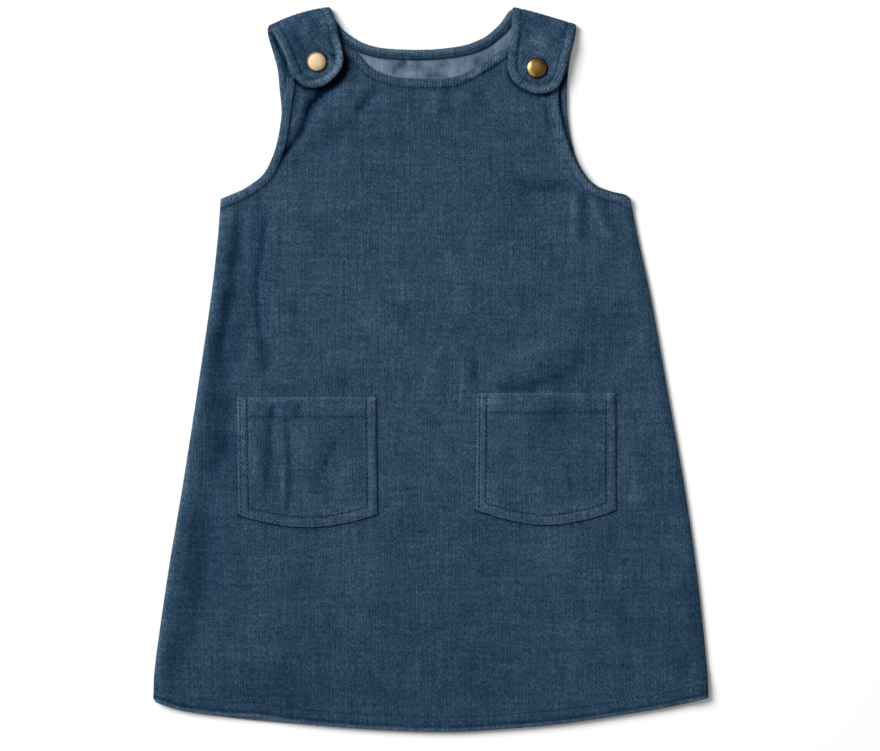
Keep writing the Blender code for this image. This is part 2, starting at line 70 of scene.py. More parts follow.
SIDES = [
    # height, left edge, right edge
    (127, -157.5, 149.3), (96, -159.8, 155.3), (51, -165, 165), (-16, -174.8, 177), (-84, -185.3, 189),
    (-151, -196.5, 198.8), (-219, -206.2, 206.2), (-247, -208, 208)
]
HEM = [
    # across, height of the back's hem, height of the front's hem
    (-206, -250.5, -250), (-185, -256.8, -256.6), (-151, -261.4, -260.6), (-128, -263.8, -261.6),
    (-103, -265.9, -265.4), (-48, -270.3, -270.1), (10, -272.4, -272.2), (54, -270.3, -270.1), (102, -265.9, -265.7),
    (161, -256.9, -256.7), (186, -252.2, -252), (208, -247, -246.8)
]
EDGES = {
    # x and y of the places along each edge
    "front_neck": (68, 250, 64.6, 247, 56.3, 240.4, 48, 235.1, 40.5, 229.9, 29.3, 223.1, 21, 219.2, 12, 217.3,
        0, 216.8, -13, 217, -26.3, 218.3, -36.5, 220.9, -44.3, 225, -50.2, 230.6, -55.2, 236.2, -60.8, 239.9,
        -66.4, 244, -73.6, 249.4),
    "front_armhole_left": (-157.5, 127, -143.6, 132.8, -134.5, 138, -124.7, 146.5, -117.3, 162, -113.6, 177,
        -111.2, 193.7, -109.2, 207.4, -107.6, 219, -107.6, 232, -108.2, 247),
    "front_armhole_right": (149.3, 127, 145.5, 130.1, 135.8, 132.4, 126.8, 135.4, 119.7, 139.8, 114.2, 146.8,
        107.8, 157.2, 102.6, 170.6, 98.8, 184.5, 96.4, 196.2, 96, 212, 96.6, 226, 97.6, 246),
    "back_neck": (61.2, 271.4, 56.3, 264.6, 51, 257.4, 42.8, 250, 36, 246.2, 24.8, 242.1, 6.8, 239.5, -9.8, 238.8,
        -27, 239.3, -38.3, 240.4, -49.5, 243.4, -57, 247.2, -64.5, 252.6, -69.8, 258.5, -73.5, 265, -75.8, 271.3),
    "back_armhole_left": (-157.5, 126.6, -143.6, 132.2, -134, 137.2, -124, 146, -116.6, 162, -112.9, 177,
        -111.8, 192.4, -113.3, 209, -114.8, 224, -117.8, 235.5, -121.3, 247, -123.2, 256.3),
    "back_armhole_right": (149.3, 126.6, 145.2, 129.6, 135.4, 131.9, 127.4, 135, 120.8, 139.4, 115.8, 144.8,
        109.5, 156, 105.6, 168.6, 103.2, 181.1, 101.7, 196, 102, 214, 104.3, 233, 107.5, 246.5, 109.3, 257.9),
}
STRAPS = {
    # ends of its fold, its snap, how far the fold bows out, its tip droops and its inner edge curls up, its tab's edge
    "left": {
        "outer": (-123.2, 256.3), "inner": (-75.8, 271.3), "snap": (-85.5, 229.7), "bow": 2.2, "droop": 0, "curl": 4.2,
        "tab": (-117.4, 250, -111, 238.6, -105.6, 225, -101.2, 217.2, -95.5, 212, -88.5, 210.2, -81.8, 211.3,
                -75.8, 214.6, -70.9, 219, -67.1, 224.6, -65.6, 231, -66.8, 239.5, -69.4, 250, -71.8, 261),
    },
    "right": {
        "outer": (109.3, 257.9), "inner": (61.2, 271.4), "snap": (79.4, 224.8), "bow": 0.3, "droop": 1, "curl": 0,
        "tab": (105.9, 245.5, 102, 231.2, 99.8, 221.5, 97, 214, 92.4, 208.8, 84.6, 206, 77.5, 206.4, 70.5, 208.9,
                63.6, 213.4, 59, 220.6, 58, 230.5, 59.3, 245, 60.7, 259),
    },
}
FACING_FOOT = {"left": 187.0, "right": 136.5}       # height of each armhole facing's lower end
POCKETS = {
    # ends of its mouth and of its bottom, and how far the bottom bows down
    "left": {"mouth": ((-145, -21.6), (-41.2, -21.6)), "bottom": ((-144, -109.5), (-40.2, -109)), "bow": 9.4},
    "right": {"mouth": ((34.6, -18.6), (138.2, -18.4)), "bottom": ((33.8, -105.6), (138.6, -105.8)), "bow": 11.2},
}
FOLDS = [
    # x and y of its start and end; its half-width and height
    ((-88, 202, -99, 180), 6, -1.1), ((-99, 180, -115, 152), 6, -1), ((-139, 122, -143, 80), 5.5, -0.9),
    ((-143, 80, -155, 16), 7, -0.8), ((-127, 128, -129, 98), 5, -0.6), ((114, 134, 118, 96), 6, -0.9),
    ((127, 126, 136, 92), 5.5, -0.6), ((-70, 150, 20, 170), 26, 0.5), ((-30, 70, -45, -120), 24, -0.4),
    ((40, 80, 20, -200), 30, 0.6), ((150, -60, 165, -220), 20, 0.5), ((-110, -150, -125, -245), 20, 0.6),
    ((-165, -90, -182, -235), 12, -0.5)
]


# ---------------------------------------------------------------- sizes of the fine surface

WALE = 2.3                              # from one rib of the cord to the next
WALE_DEPTH = 0.42
WALE_SECTION = ((0.0, 0.0), (0.2, 0.82), (0.5, 1.0), (0.8, 0.82))   # across a wale: place, height
FIELD_RIBS = 0.31                       # how much of its wales a worn field still shows
WALE_ROW = 5.0                          # mesh rows along the wales
FINE_ROW = 1.25                         # mesh rows along turned edges and stitching
RIM_STEP = 1.5                          # points along an edge
RIM_DEPTHS = (0.35, 0.95, 1.9)          # rows that round an edge
RIM_ROUND = 2.0                         # how far in an edge is rounded
RIM_BULGE = 0.28
STITCH = 3.2                            # from one stitch to the next
STITCH_LENGTH = 2.4
THREAD = 0.42                           # thickness of the thread
SEWN_WALE = 0.8                         # how high the wales stand under the thread
GROOVE_WIDTH = 0.95
ARMHOLE_STITCH = 7.0                    # from the left armhole's edge to its stitching
POCKET_STITCH = 7.2                     # from a pocket's edge to its stitching
EDGE_STITCH = 1.8
FACING_GROOVE = 5.2                     # from the back neck's edge to the facing's groove
SEEN_STEP = 1.7                         # between points of the inner face that shows in the neck
SEEN_REACH = 45.0                       # how far from the back neck's edge that face is given its creases
STRAP_SIDE = 40.0                       # everything nearer than this to a strap's middle belongs to it
STRAP_START = -25.0                     # where a strap starts, before its fold
TO_SHADE = np.array((0.9, -0.44))       # the way across the dress that leads away from the light
TAB_RIM = {"left": 0.75, "right": 0.5}  # how much painted light the tabs' far edges catch
CREASE_LIMIT = 1.1                      # the deepest that a crease goes
FRONT_TURNED = ("front_neck", "front_armhole_left", "front_armhole_right")


# ---------------------------------------------------------------- curves and distances

def spline(points, step):
    """A smooth curve through the points, with evenly spaced points about a step apart, ends kept."""
    p = np.reshape(np.array(points, float), (-1, 2))
    p = np.vstack([2 * p[0] - p[1], p, 2 * p[-1] - p[-2]])
    rows = []
    for a, b, c, d in zip(p, p[1:], p[2:], p[3:]):
        for t in np.linspace(0, 1, 12, endpoint=False):
            rows.append(0.5 * (2 * b + (c - a) * t + (2 * a - 5 * b + 4 * c - d) * t ** 2
                               + (3 * b - 3 * c + d - a) * t ** 3))
    return evenly(np.array(rows + [p[-2]]), step)


def evenly(line, step):
    """The same line with points about a step apart along it, ends kept."""
    at = lengths(line)
    even = np.linspace(0, at[-1], max(2, round(at[-1] / step)) + 1)
    return np.column_stack([np.interp(even, at, line[:, i]) for i in range(line.shape[1])])


def lengths(line):
    """How far along a line each of its points is."""
    return np.concatenate([[0], np.cumsum(np.linalg.norm(np.diff(line, axis=0), axis=1))])


def nearest(points, line, reach=30.0):
    """How far each point is from a line, up to the reach, and how far along the line its nearest place is."""
    best, place = np.full(len(points), float(reach)), np.zeros(len(points))
    starts = lengths(line)
    for first in range(0, len(line) - 1, 8):
        low, high = line[first:first + 9].min(axis=0) - reach, line[first:first + 9].max(axis=0) + reach
        near = np.flatnonzero((points[:, 0] > low[0]) & (points[:, 0] < high[0])
                              & (points[:, 1] > low[1]) & (points[:, 1] < high[1]))
        if not len(near):
            continue
        x, y = points[near, 0], points[near, 1]
        for i in range(first, min(first + 8, len(line) - 1)):
            (ax, ay), (bx, by) = line[i], line[i + 1]
            run_x, run_y = bx - ax, by - ay
            length = max(math.hypot(run_x, run_y), 1e-9)
            t = np.clip(((x - ax) * run_x + (y - ay) * run_y) / length ** 2, 0, 1)
            away = np.hypot(x - ax - t * run_x, y - ay - t * run_y)
            nearer = np.flatnonzero(away < best[near])
            best[near[nearer]] = away[nearer]
            place[near[nearer]] = starts[i] + t[nearer] * length
    return best, place


def distance(points, line, reach=30.0):
    return nearest(points, line, reach)[0]


def inside(points, loop):
    """Which points lie inside a closed loop."""
    order = np.argsort(points[:, 1])
    x, y = points[order, 0], points[order, 1]
    odd = np.zeros(len(points), bool)
    for (ax, ay), (bx, by) in zip(loop, np.roll(loop, -1, axis=0)):
        if ay != by:
            first, last = np.searchsorted(y, (min(ay, by), max(ay, by)))
            odd[first:last] ^= x[first:last] < (bx - ax) * (y[first:last] - ay) / (by - ay) + ax
    result = np.empty(len(points), bool)
    result[order] = odd
    return result


def ease(low, high, value):
    """0 below low, 1 above high, and a smooth step between them. Low may be above high."""
    t = np.clip((value - low) / (high - low), 0, 1)
    return t * t * (3 - 2 * t)


def bell(value, width):
    return np.exp(-(value / width) ** 2)


def join(*lines):
    """One closed loop from lines that run on from each other, without repeated points."""
    loop = []
    for point in np.vstack(lines):
        if not loop or np.linalg.norm(point - loop[-1]) > 0.4:
            loop.append(point)
    if np.linalg.norm(loop[0] - loop[-1]) <= 0.4:
        loop.pop()
    return np.array(loop)


def closed(loop):
    return np.vstack([loop, loop[:1]])


def inward(loop):
    """The unit normals of a closed loop that runs anticlockwise, pointing in."""
    run = np.roll(loop, -1, axis=0) - np.roll(loop, 1, axis=0)
    return np.column_stack([-run[:, 1], run[:, 0]]) / np.maximum(np.linalg.norm(run, axis=1), 1e-9)[:, None]


def beside(line, away):
    """An open line moved to its left."""
    run = np.gradient(line, axis=0)
    return line + away * np.column_stack([-run[:, 1], run[:, 0]]) / np.linalg.norm(run, axis=1)[:, None]


def moved_in(line, depth, trim=0.0):
    """A stitch line beside an edge that has the cloth on its left, with its ends trimmed."""
    row = beside(evenly(line, 1.0), depth)
    row = row[distance(row, line) > 0.97 * depth]
    at = lengths(row)
    return row[(at >= trim) & (at <= at[-1] - trim)]


def turned(points, angle):
    """Points turned about the origin, with the angle in degrees."""
    c, s = math.cos(math.radians(angle)), math.sin(math.radians(angle))
    return points @ np.array([[c, s], [-s, c]])


def swell(points, size, seed, waves=7):
    """Soft uneven relief between about -1 and 1, from a few crossing waves of about that size."""
    draw = np.random.default_rng(seed)
    total = np.zeros(len(points))
    for _ in range(waves):
        angle, phase = draw.uniform(0, 2 * math.pi, 2)
        number = 2 * math.pi / (size * draw.uniform(0.7, 1.5))
        total += np.sin(number * (points[:, 0] * math.cos(angle) + points[:, 1] * math.sin(angle)) + phase)
    return total / math.sqrt(2.0 * waves)


# ---------------------------------------------------------------- outlines

def side(column, inset):
    """A side edge from the underarm to the hem, moved in towards the middle."""
    return [(row[column] - math.copysign(inset, row[column]), row[0]) for row in SIDES]


def front_hem_line(step):
    return spline([(x, front) for x, _, front in HEM], step)


def back_hem_line(step):
    return spline([(x * BACK_HEM_SHARE, back) for x, back, _ in HEM], step)


GUIDE = 6.0                 # step of the lines that distances are measured from

guides = {name: spline(places, GUIDE / 2) for name, places in EDGES.items()}
guides.update(front_side_left=spline(side(1, 0.0), GUIDE), front_side_right=spline(side(2, 0.0), GUIDE),
              front_hem=front_hem_line(GUIDE), back_hem=back_hem_line(GUIDE))


class Fold:
    """A strap's shoulder fold. U runs along it from the outer to the inner end, and S across it, away from the
    body. A flat strap is bent from S = -FOLD_RADIUS on, over the top, and comes back over the front."""

    def __init__(self, outer, inner, bow, droop, curl, snap, **rest):
        outer, inner = np.array(outer), np.array(inner)
        self.middle = (outer + inner) / 2
        self.half = np.linalg.norm(inner - outer) / 2
        self.along = (inner - outer) / (2 * self.half)
        self.out = np.array([-self.along[1], self.along[0]]) * (1 if self.along[0] > 0 else -1)
        self.bow, self.droop, self.curl = bow, droop, curl
        self.core = FOLD_RADIUS - STRAP / 2
        self.end = -FOLD_RADIUS + math.pi * self.core
        (self.snap_u,), (snap_s,) = self.local(snap)
        self.snap_v = -snap_s

    def local(self, points):
        away = np.atleast_2d(points) - self.middle
        return away @ self.along, away @ self.out

    def flat(self, u, s):
        return self.middle + np.outer(u, self.along) + np.outer(s, self.out)

    def unfolded(self, points):
        """Points of the tab as it lies, put back where they are in the flat pattern."""
        u, s = self.local(points)
        return self.flat(u, self.end - FOLD_RADIUS - s)

    def lift(self, u, v):
        """How far the tab's middle layer is above where the fold leaves it, V from the fold's outside."""
        tip = ease(48, 58, v) * ease(-20, -5, u)
        curl = self.curl * ease(CAP_RADIUS + 1.5, 23, u - self.snap_u + 0.6 * (v - self.snap_v))
        return TAB_LIFT * ease(FOLD_RADIUS, 17, v) - self.droop * tip + curl

    def bent(self, u, s):
        """Middle and outward normal of the strap at flat places."""
        turn = np.clip((s + FOLD_RADIUS) / self.core, 0, math.pi)
        v = FOLD_RADIUS + np.maximum(s - self.end, 0)
        across = np.minimum(s, -FOLD_RADIUS) + self.core * np.sin(turn) - (v - FOLD_RADIUS)
        near = ease(STRAP_START, -FOLD_RADIUS, s) * ease(self.end + 22, self.end, s)
        across = across + self.bow * near * np.clip(1 - (u / self.half) ** 2, 0, 1)
        height = FOLD_RADIUS - self.core * np.cos(turn) + np.where(s > self.end, self.lift(u, v), 0)
        plane = self.flat(u, across)
        middle = np.column_stack([plane, height])
        normal = np.column_stack([np.sin(turn)[:, None] * self.out, -np.cos(turn)])
        return middle, normal


folds = {name: Fold(**strap) for name, strap in STRAPS.items()}


def strap_loop(name, step):
    """The flat strap's edge past the start of its fold, from the outer side round the tip to the inner side."""
    fold = folds[name]
    strap = STRAPS[name]
    tab = spline((*strap["outer"], *strap["tab"], *strap["inner"]), step)
    u, s = fold.local(tab)
    kept = tab[-s > FOLD_RADIUS + 0.8]
    third = len(tab) // 3
    ends = [np.interp(FOLD_RADIUS, *zip(*sorted(zip(-s[half], u[half])))) for half in
            (slice(0, third), slice(-third, None))]
    count = round(math.pi * fold.core / min(step, 1.2)) + 1
    rows = np.linspace(-FOLD_RADIUS, fold.end, count)
    up = fold.flat(np.linspace(-fold.half + 0.2, ends[0], count), rows)
    down = fold.flat(np.linspace(fold.half - 0.2, ends[1], count), rows)[::-1]
    return np.vstack([up, fold.unfolded(kept), down])


def below_fold(line, name):
    """The part of a back edge that lies before the strap begins to bend."""
    return line[folds[name].local(line)[1] < -FOLD_RADIUS - 0.8]


def neck_below_folds(step):
    return below_fold(below_fold(spline(EDGES["back_neck"], step), "left"), "right")


def back_armhole(name, step):
    """A back armhole's edge below the fold, run so that the cloth is on its left."""
    line = below_fold(spline(EDGES["back_armhole_" + name], step), name)
    return line if name == "right" else line[::-1]


def back_turned(step):
    """The whole turned edge of the back, from the right underarm over the straps to the left underarm."""
    return np.vstack([back_armhole("right", step), strap_loop("right", step), neck_below_folds(step),
                      strap_loop("left", step)[::-1], back_armhole("left", step)])


def front_outline(step):
    neck, armhole_left, armhole_right = (spline(EDGES[line], step) for line in FRONT_TURNED)
    return join(front_hem_line(step), spline(side(2, 0.0), step)[::-1], armhole_right, neck, armhole_left[::-1],
                spline(side(1, 0.0), step))


def back_outline(step):
    return join(back_hem_line(step), spline(side(2, BACK_INSET), step)[::-1], back_turned(step),
                spline(side(1, BACK_INSET), step))


front_edge = front_outline(RIM_STEP)
back_edge = back_outline(RIM_STEP)
guides["front_loop"] = closed(front_outline(GUIDE))
guides["back_turned"] = back_turned(2.0)


# ---------------------------------------------------------------- heights, as in the CAD

def back_inner(points):
    """Top of the back panel: one layer, doubled at the hem and thicker up the straps."""
    hem = ease(HEM_DEPTH + 2.5, HEM_DEPTH - 1.0, distance(points, guides["back_hem"]))
    return CLOTH + (EDGE - CLOTH) * hem + (STRAP - CLOTH) * ease(150, 205, points[:, 1])


def fold_relief(points):
    """The largest folds of the front, fading out along its edges."""
    relief = np.zeros(len(points))
    for ends, half_width, height in FOLDS:
        relief += height * bell(distance(points, np.reshape(ends, (2, 2)), 3.2 * half_width), half_width)
    return relief * ease(2, 14, distance(points, guides["front_loop"]))


def front_inner(points):
    """Underside of the front: just clear of the back, its hem, its straps and their facings."""
    edge_left = distance(points, guides["back_armhole_left"])
    edge_right = distance(points, guides["back_armhole_right"])
    height = points[:, 1]
    over_facing = np.maximum(ease(17, 9, edge_left) * ease(168, 184, height),
                             ease(17, 9, edge_right) * ease(116, 133, height))
    from_hem = distance(points, guides["front_hem"])
    rest = CLOTH + GAP + (STRAP - CLOTH) * ease(135, 190, height)
    hem = (EDGE - CLOTH) * ease(2.4 * HEM_DEPTH, 1.4 * HEM_DEPTH, from_hem)
    from_side = np.minimum(distance(points, guides["front_side_left"]), distance(points, guides["front_side_right"]))
    ridge = SEAM_RIDGE * ease(0, 6, from_side) * ease(20, 9, from_side)
    field = 0.8 * ease(0, 16, from_side) * ease(0, 30, from_hem) * ease(225, 195, height)
    return rest + hem + np.maximum(ridge, np.maximum(field, (FACING + GAP) * over_facing)) + 0.1


def front_wall(points):
    """Thickness of the front: doubled along the hem, neck and armholes."""
    double = ease(HEM_DEPTH + 2.5, HEM_DEPTH - 0.5, distance(points, guides["front_hem"]))
    for line in FRONT_TURNED:
        double = np.maximum(double, ease(TURN_DEPTH + 2.0, TURN_DEPTH - 0.5, distance(points, guides[line])))
    return CLOTH + (EDGE - CLOTH) * double * ease(249, 240, points[:, 1])


# ---------------------------------------------------------------- creases

FRONT_CREASES = [
    # x and y of the places along it; its half-width, its height and how much lighter it is painted, as painted light
    # and shade
    ((-78, 208.1, -83.2, 205.1, -88.5, 200.6, -92.2, 194.6, -94.1, 187.1, -97.1, 178.9, -101.6, 171.4, -106.9, 164.6,
     -111.4, 157.9, -115.5, 150.4), 2.8, -0.3, -0.92),
    ((-93, 205.9, -96, 198.4, -99.4, 187.1, -103.5, 177.4), 2.6, 1.2, 0.25),
    ((-58.5, 212.6, -69.8, 203.6, -78.8, 191.6, -90, 178.9, -99.8, 166.9, -108, 156.4), 5, 0.92, 0.13),
    ((-39.8, 212.6, -48, 202.1, -57.8, 189.4), 3.6, -0.92, -0.59),
    ((-57, 190.1, -66, 178.9, -75.8, 171.4, -87, 163.9, -99, 156.4, -110.2, 150.4), 4.6, -0.8, -0.25),
    ((-66, 176.6, -51.8, 172.1, -30.8, 172.1, -9.8, 173.6), 5.5, -0.46, -0.18),
    ((-11.2, 210.4, -17.2, 200.6, -23.2, 188.6), 3.6, -0.57, -0.15), ((-30.8, 202.9, -35.2, 192.4), 5, 0.46, 0.3),
    ((11.2, 212.6, 11.2, 202.9, 9, 191.6), 4.2, -0.57, -0.37), ((3, 210.4, 3, 192.4), 3.5, 0.34, 0.22),
    ((24, 207.4, 22.5, 196.9), 4.5, 0.46, 0.21), ((32.2, 208.9, 38.2, 200.6, 44.2, 193.1), 4.5, -0.57, -0.2),
    ((88.5, 201.4, 91.5, 186.4, 94.5, 171.4, 99, 157.9, 106.5, 143.6), 3, 0.34, 0.24),
    ((85.5, 199.1, 87.8, 186.4, 90, 172.9), 1.8, -0.46, -0.47),
    ((61.5, 140.6, 76.5, 137.6, 87.8, 137.6, 99, 138.4, 108, 134.6), 3.8, -0.92, -0.38),
    ((108, 133.9, 107.2, 116.6, 106.5, 90.4), 3.2, 0.69, 0.47),
    ((114.8, 133.9, 115.5, 118.9, 117, 96.4), 3.2, -1.15, -0.42),
    ((120.8, 127.9, 127.5, 109.9, 135.8, 96.4), 3, 0.57, 0.38),
    ((128.2, 126.4, 136.5, 108.4, 143.2, 91.1, 147.8, 79.9), 2.8, -0.92, -0.09),
    ((-141, 121.9, -146.2, 96.4, -149.2, 76.1, -150.8, 61.1, -153.8, 43.9, -157.5, 25.1,
     -161.2, 12.4), 5, -1.03, -0.37),
    ((-158.2, 28.9, -160.5, 12.4, -158.2, -2.6, -161.2, -16.1), 8, -0.92, -0.28),
    ((-159, -12.4, -158.2, -38.6, -160.5, -58.1, -167.2, -82.1), 9, -0.92, -0.29),
    ((-153.8, -17.6, -153.8, -42.4, -156.8, -70.1), 6, -0.23, -0.11),
    ((-171, -97.1, -172.5, -117.4, -171, -145.1, -174.8, -170.6, -182.2, -197.6, -189.8, -217.1,
     -195.8, -241.1), 9, -0.8, -0.26),
    ((-136.5, 124.1, -136.5, 111.4, -137.2, 90.4), 3, 0.57, 0.09),
    ((-122.2, 126.4, -125.2, 106.1, -127.5, 88.9, -130.5, 70.1, -131.2, 53.6, -129, 32.6, -126.8, 12.4,
     -126, -11.6), 2.8, -1.03, -0.42),
    ((-146.2, 73.9, -146.2, 51.4, -146.2, 28.9, -150, -2.6), 9, -0.34, -0.19),
    ((-126.8, 21.4, -120.8, 8.6, -126.8, -2.6), 4, -0.57, -0.32), ((-116.2, 122.6, -116.2, 88.9), 3, 0.69, 0.16),
    ((-115.5, 62.6, -115.5, 38.6, -112.5, 17.6, -109.5, 4.1), 4, 0.69, 0.1),
    ((-102.8, 52.9, -102, 36.4, -102, 17.6), 4, -0.57, -0.26), ((-150, 121.9, -152.2, 107.6), 3, 0.34, 0.35),
    ((-5.2, -27.4, -2.2, -7.1, 4.5, 10.1, 14.2, 17.6, 22.5, 7.9, 24, -12.4, 21.8, -34.9), 2.6, 0.46, 0.28),
    ((48.8, -16.9, 63, -15.4, 75, -12.4, 87.8, -8.6, 100.5, -1.9), 4.2, -1.6, -0.55),
    ((81.8, -1.1, 93.8, 1.9, 105.8, 4.9, 117.8, 6.4), 6, -0.92, -0.17),
    ((111, 22.9, 111.8, 12.4, 114, 1.9), 3.4, -0.69, -0.03),
    ((45.8, -5.6, 63, 4.1, 80.2, 13.9, 105.8, 23.6), 6.5, 1.03, 0.12), ((33, 6.4, 33, -19.1), 2.8, -0.46, -0.38),
    ((192.8, -154.9, 194.2, -173.6, 196.5, -197.6, 192.8, -217.1, 180.8, -231.4), 4.5, -0.57, -0.16),
    ((159, -59.6, 168, -74.6, 171.8, -87.4), 4, -0.57, -0.16), ((153.8, -83.6, 156.8, -107.6), 6, 0.57, 0.27),
    ((136.5, -166.1, 143.2, -184.9, 152.2, -203.6), 6, -0.46, -0.12), ((-194.2, -239.6, -173.2, -245.6), 6, 0.23, 0),
    ((-153.8, 51.4, -159, 17.6, -162.8, -10.9, -163.5, -46.1, -163.5, -73.9, -169.5, -106.1, -174.8, -130.1,
     -177.8, -158.6, -180.8, -186.4), 7, -0.34, -0.15),
    ((-135.8, 96.4, -135.8, 51.4, -138, 13.9), 9, -0.23, -0.03),
    ((-81, 206.6, -87, 201.4, -91.5, 194.6), 3.6, -0.5, -0.46),
    ((50.2, 138.4, 66.8, 133.9, 85.5, 133.1, 96.8, 133.9), 3, -0.34, -0.27),
    ((57, 145.9, 74.2, 143.6, 93.8, 144.4), 3, 0.34, 0.07), ((87.8, -14.6, 101.2, -7.1, 114, 1.9), 7, -0.34, -0.28),
    ((132, 127.9, 138.8, 109.9, 146.2, 91.9), 3.6, -0.34, -0.12), ((-43.5, -123.4, -43.5, -160.9), 4, 0.23, 0.09),
    ((150.8, -73.9, 153.8, -111.4), 5, 0.23, 0.14), ((-29.2, 52.1, -20.2, 44.6, -12.8, 37.1), 4, -0.34, -0.02),
    ((-24.8, 61.9, -14.2, 58.9), 5, 0.34, 0.14), ((-57.8, 178.9, -56.2, 184.9, -55.5, 191.6), 3, -0.34, -0.23),
    ((-68.2, 203.6, -59.2, 195.4, -61.5, 186.4), 3, 0.34, 0.05), ((96.8, 51.4, 98.2, 28.9), 8, 0.23, 0.04),
    ((26.2, 217.5, 35.2, 222.4, 44.2, 228.8, 53.2, 235.5), 2.2, 0.2, 0.8),
    ((20.2, 213.8, 29.2, 216.5, 36.8, 219.5, 44.2, 224, 51.8, 229.1, 57, 232.1), 0.9, -0.3, -0.32),
    ((-114, 151.9, -118.5, 145.1, -123.8, 139.9, -129, 135.4), 0.8, -0.2, -0.35),
]
POCKET_CREASES = {
    "left": [
        ((-119.2, -24.4, -121.1, -42.4, -121.9, -69.4, -123.8, -98.6), 3.4, -1.26, -0.48),
        ((-113.2, -23.6, -113.2, -79.9), 2.6, 0.57, 0.01),
        ((-108.8, -34.9, -105.8, -66.4, -105.8, -94.9, -108.8, -115.1), 2.2, -0.8, -0.34),
        ((-95.2, -42.4, -96, -76.1), 4, 0.57, 0.06),
        ((-65.2, -53.6, -75, -62.6, -83.2, -82.1, -84.8, -98.6), 3.2, -0.69, -0.22),
        ((-59.2, -64.9, -63, -83.6, -68.2, -100.9), 5.5, 0.57, 0.18),
        ((-136.5, -25.1, -135, -61.1, -136.5, -102.4), 5, 0.46, 0.13), ((-101.2, -26.6, -49.5, -26.6), 4, 0.11, 0.3),
        ((-110.6, -27.4, -110.6, -113.6), 1.8, 0.34, 0.21),
        ((-89.2, -53.6, -81.8, -62.6, -84.8, -82.1, -90, -98.6), 3, -0.46, -0.08),
        ((-131.2, -38.6, -131.2, -83.6), 3, 0.34, 0.12), ((-117, -25.1, -120, -37.1), 2, -0.69, -0.24),
        ((-97.5, -25.1, -102, -38.6), 2.4, -0.57, -0.38), ((-79.5, -67.9, -77.2, -71.6), 1.2, -0.69, -0.39),
    ],
    "right": [
        ((102, -70.1, 103.5, -79.9, 106.5, -94.9), 3, -0.69, -0.19),
        ((114, -44.6, 120.8, -50.6, 124.5, -62.6), 2.6, -0.57, -0.06), ((109.5, -50.6, 114, -62.6), 3, 0.57, 0.07),
        ((51.8, -34.9, 50.2, -76.1), 5, 0.34, 0.05), ((72.8, -31.1, 75.8, -53.6, 72.8, -68.6), 3, -0.34, -0.05),
        ((101.2, -25.1, 101.2, -53.6), 2.6, -0.34, -0.06),
        ((119.2, -23.6, 125.2, -32.6, 119.2, -41.6), 3, -0.46, -0.04), ((82.5, -76.1, 82.5, -102.4), 4, 0.34, 0.02),
    ],
}
FRONT_PATCHES = [
    # middle across and up, half its width, half its height, shade
    (-83.2, 106.1, 10, 9, -0.31), (-102.8, 73.9, 5, 6, 0.07), (-78, 76.1, 6, 5, 0.03), (-18.8, 41.6, 6.5, 6.5, -0.32),
    (23.2, 28.9, 5, 5, -0.37), (-65.2, -11.6, 5.5, 5, -0.28), (-45, 33.4, 5, 7, 0.33), (-23.2, 60.4, 10, 8, 0.22),
    (17.2, 77.6, 9, 7, 0.24), (70.5, 70.9, 9, 6, 0.2), (64.5, 119.6, 14, 10, -0.11), (129.8, 28.9, 18, 16, -0.17),
    (0, -38.6, 6, 6, -0.22), (8.2, -11.6, 6, 10, -0.18), (-109.5, -16.1, 14, 3.5, -0.35),
    (-60.8, -155.6, 26, 30, 0.12), (-104.2, -164.6, 10, 8, -0.02), (-126.8, -178.9, 8, 6, 0.12),
    (-117, -242.6, 40, 16, -0.26), (-43.5, -241.1, 20, 14, -0.1), (89.2, -139.9, 12, 18, 0.22),
    (132.8, -127.1, 8, 12, -0.2), (45.8, -211.9, 14, 8, -0.15), (33, -241.1, 28, 12, -0.07),
    (102, -190.1, 10, 12, 0.11), (119.2, 13.9, 12, 14, -0.1), (93.8, -145.1, 14, 18, 0.14),
    (144.8, -179.6, 12, 20, -0.01), (126.8, -136.1, 5, 14, -0.11), (44.2, -226.1, 14, 22, -0.03),
    (-0.8, -143.6, 18, 14, 0.04), (-150.8, -76.1, 10, 30, -0.18), (51.8, 51.4, 20, 20, -0.02),
    (-60.8, 96.4, 24, 16, 0.05), (29.2, 156.4, 24, 12, 0.02), (-75.8, 126.4, 16, 10, 0.2)
]
POCKET_PATCHES = {
    "left": [
        (-140.2, -25.1, 8, 7, 0.23), (-44.2, -25.1, 4, 8, 0.6), (-45, -76.1, 3, 26, 0.41)
    ],
    "right": [
        (90.8, -34.9, 13, 12, -0.39), (76.5, -53.6, 4, 8, -0.25), (45, -24.4, 9, 7, 0.52), (132.8, -22.1, 4, 6, 0.35),
        (122.2, -34.1, 7, 4, -0.13), (40.5, -91.1, 6, 14, 0.35)
    ],
}
TAB_SHADE = {"left": -0.14, "right": 0.10}
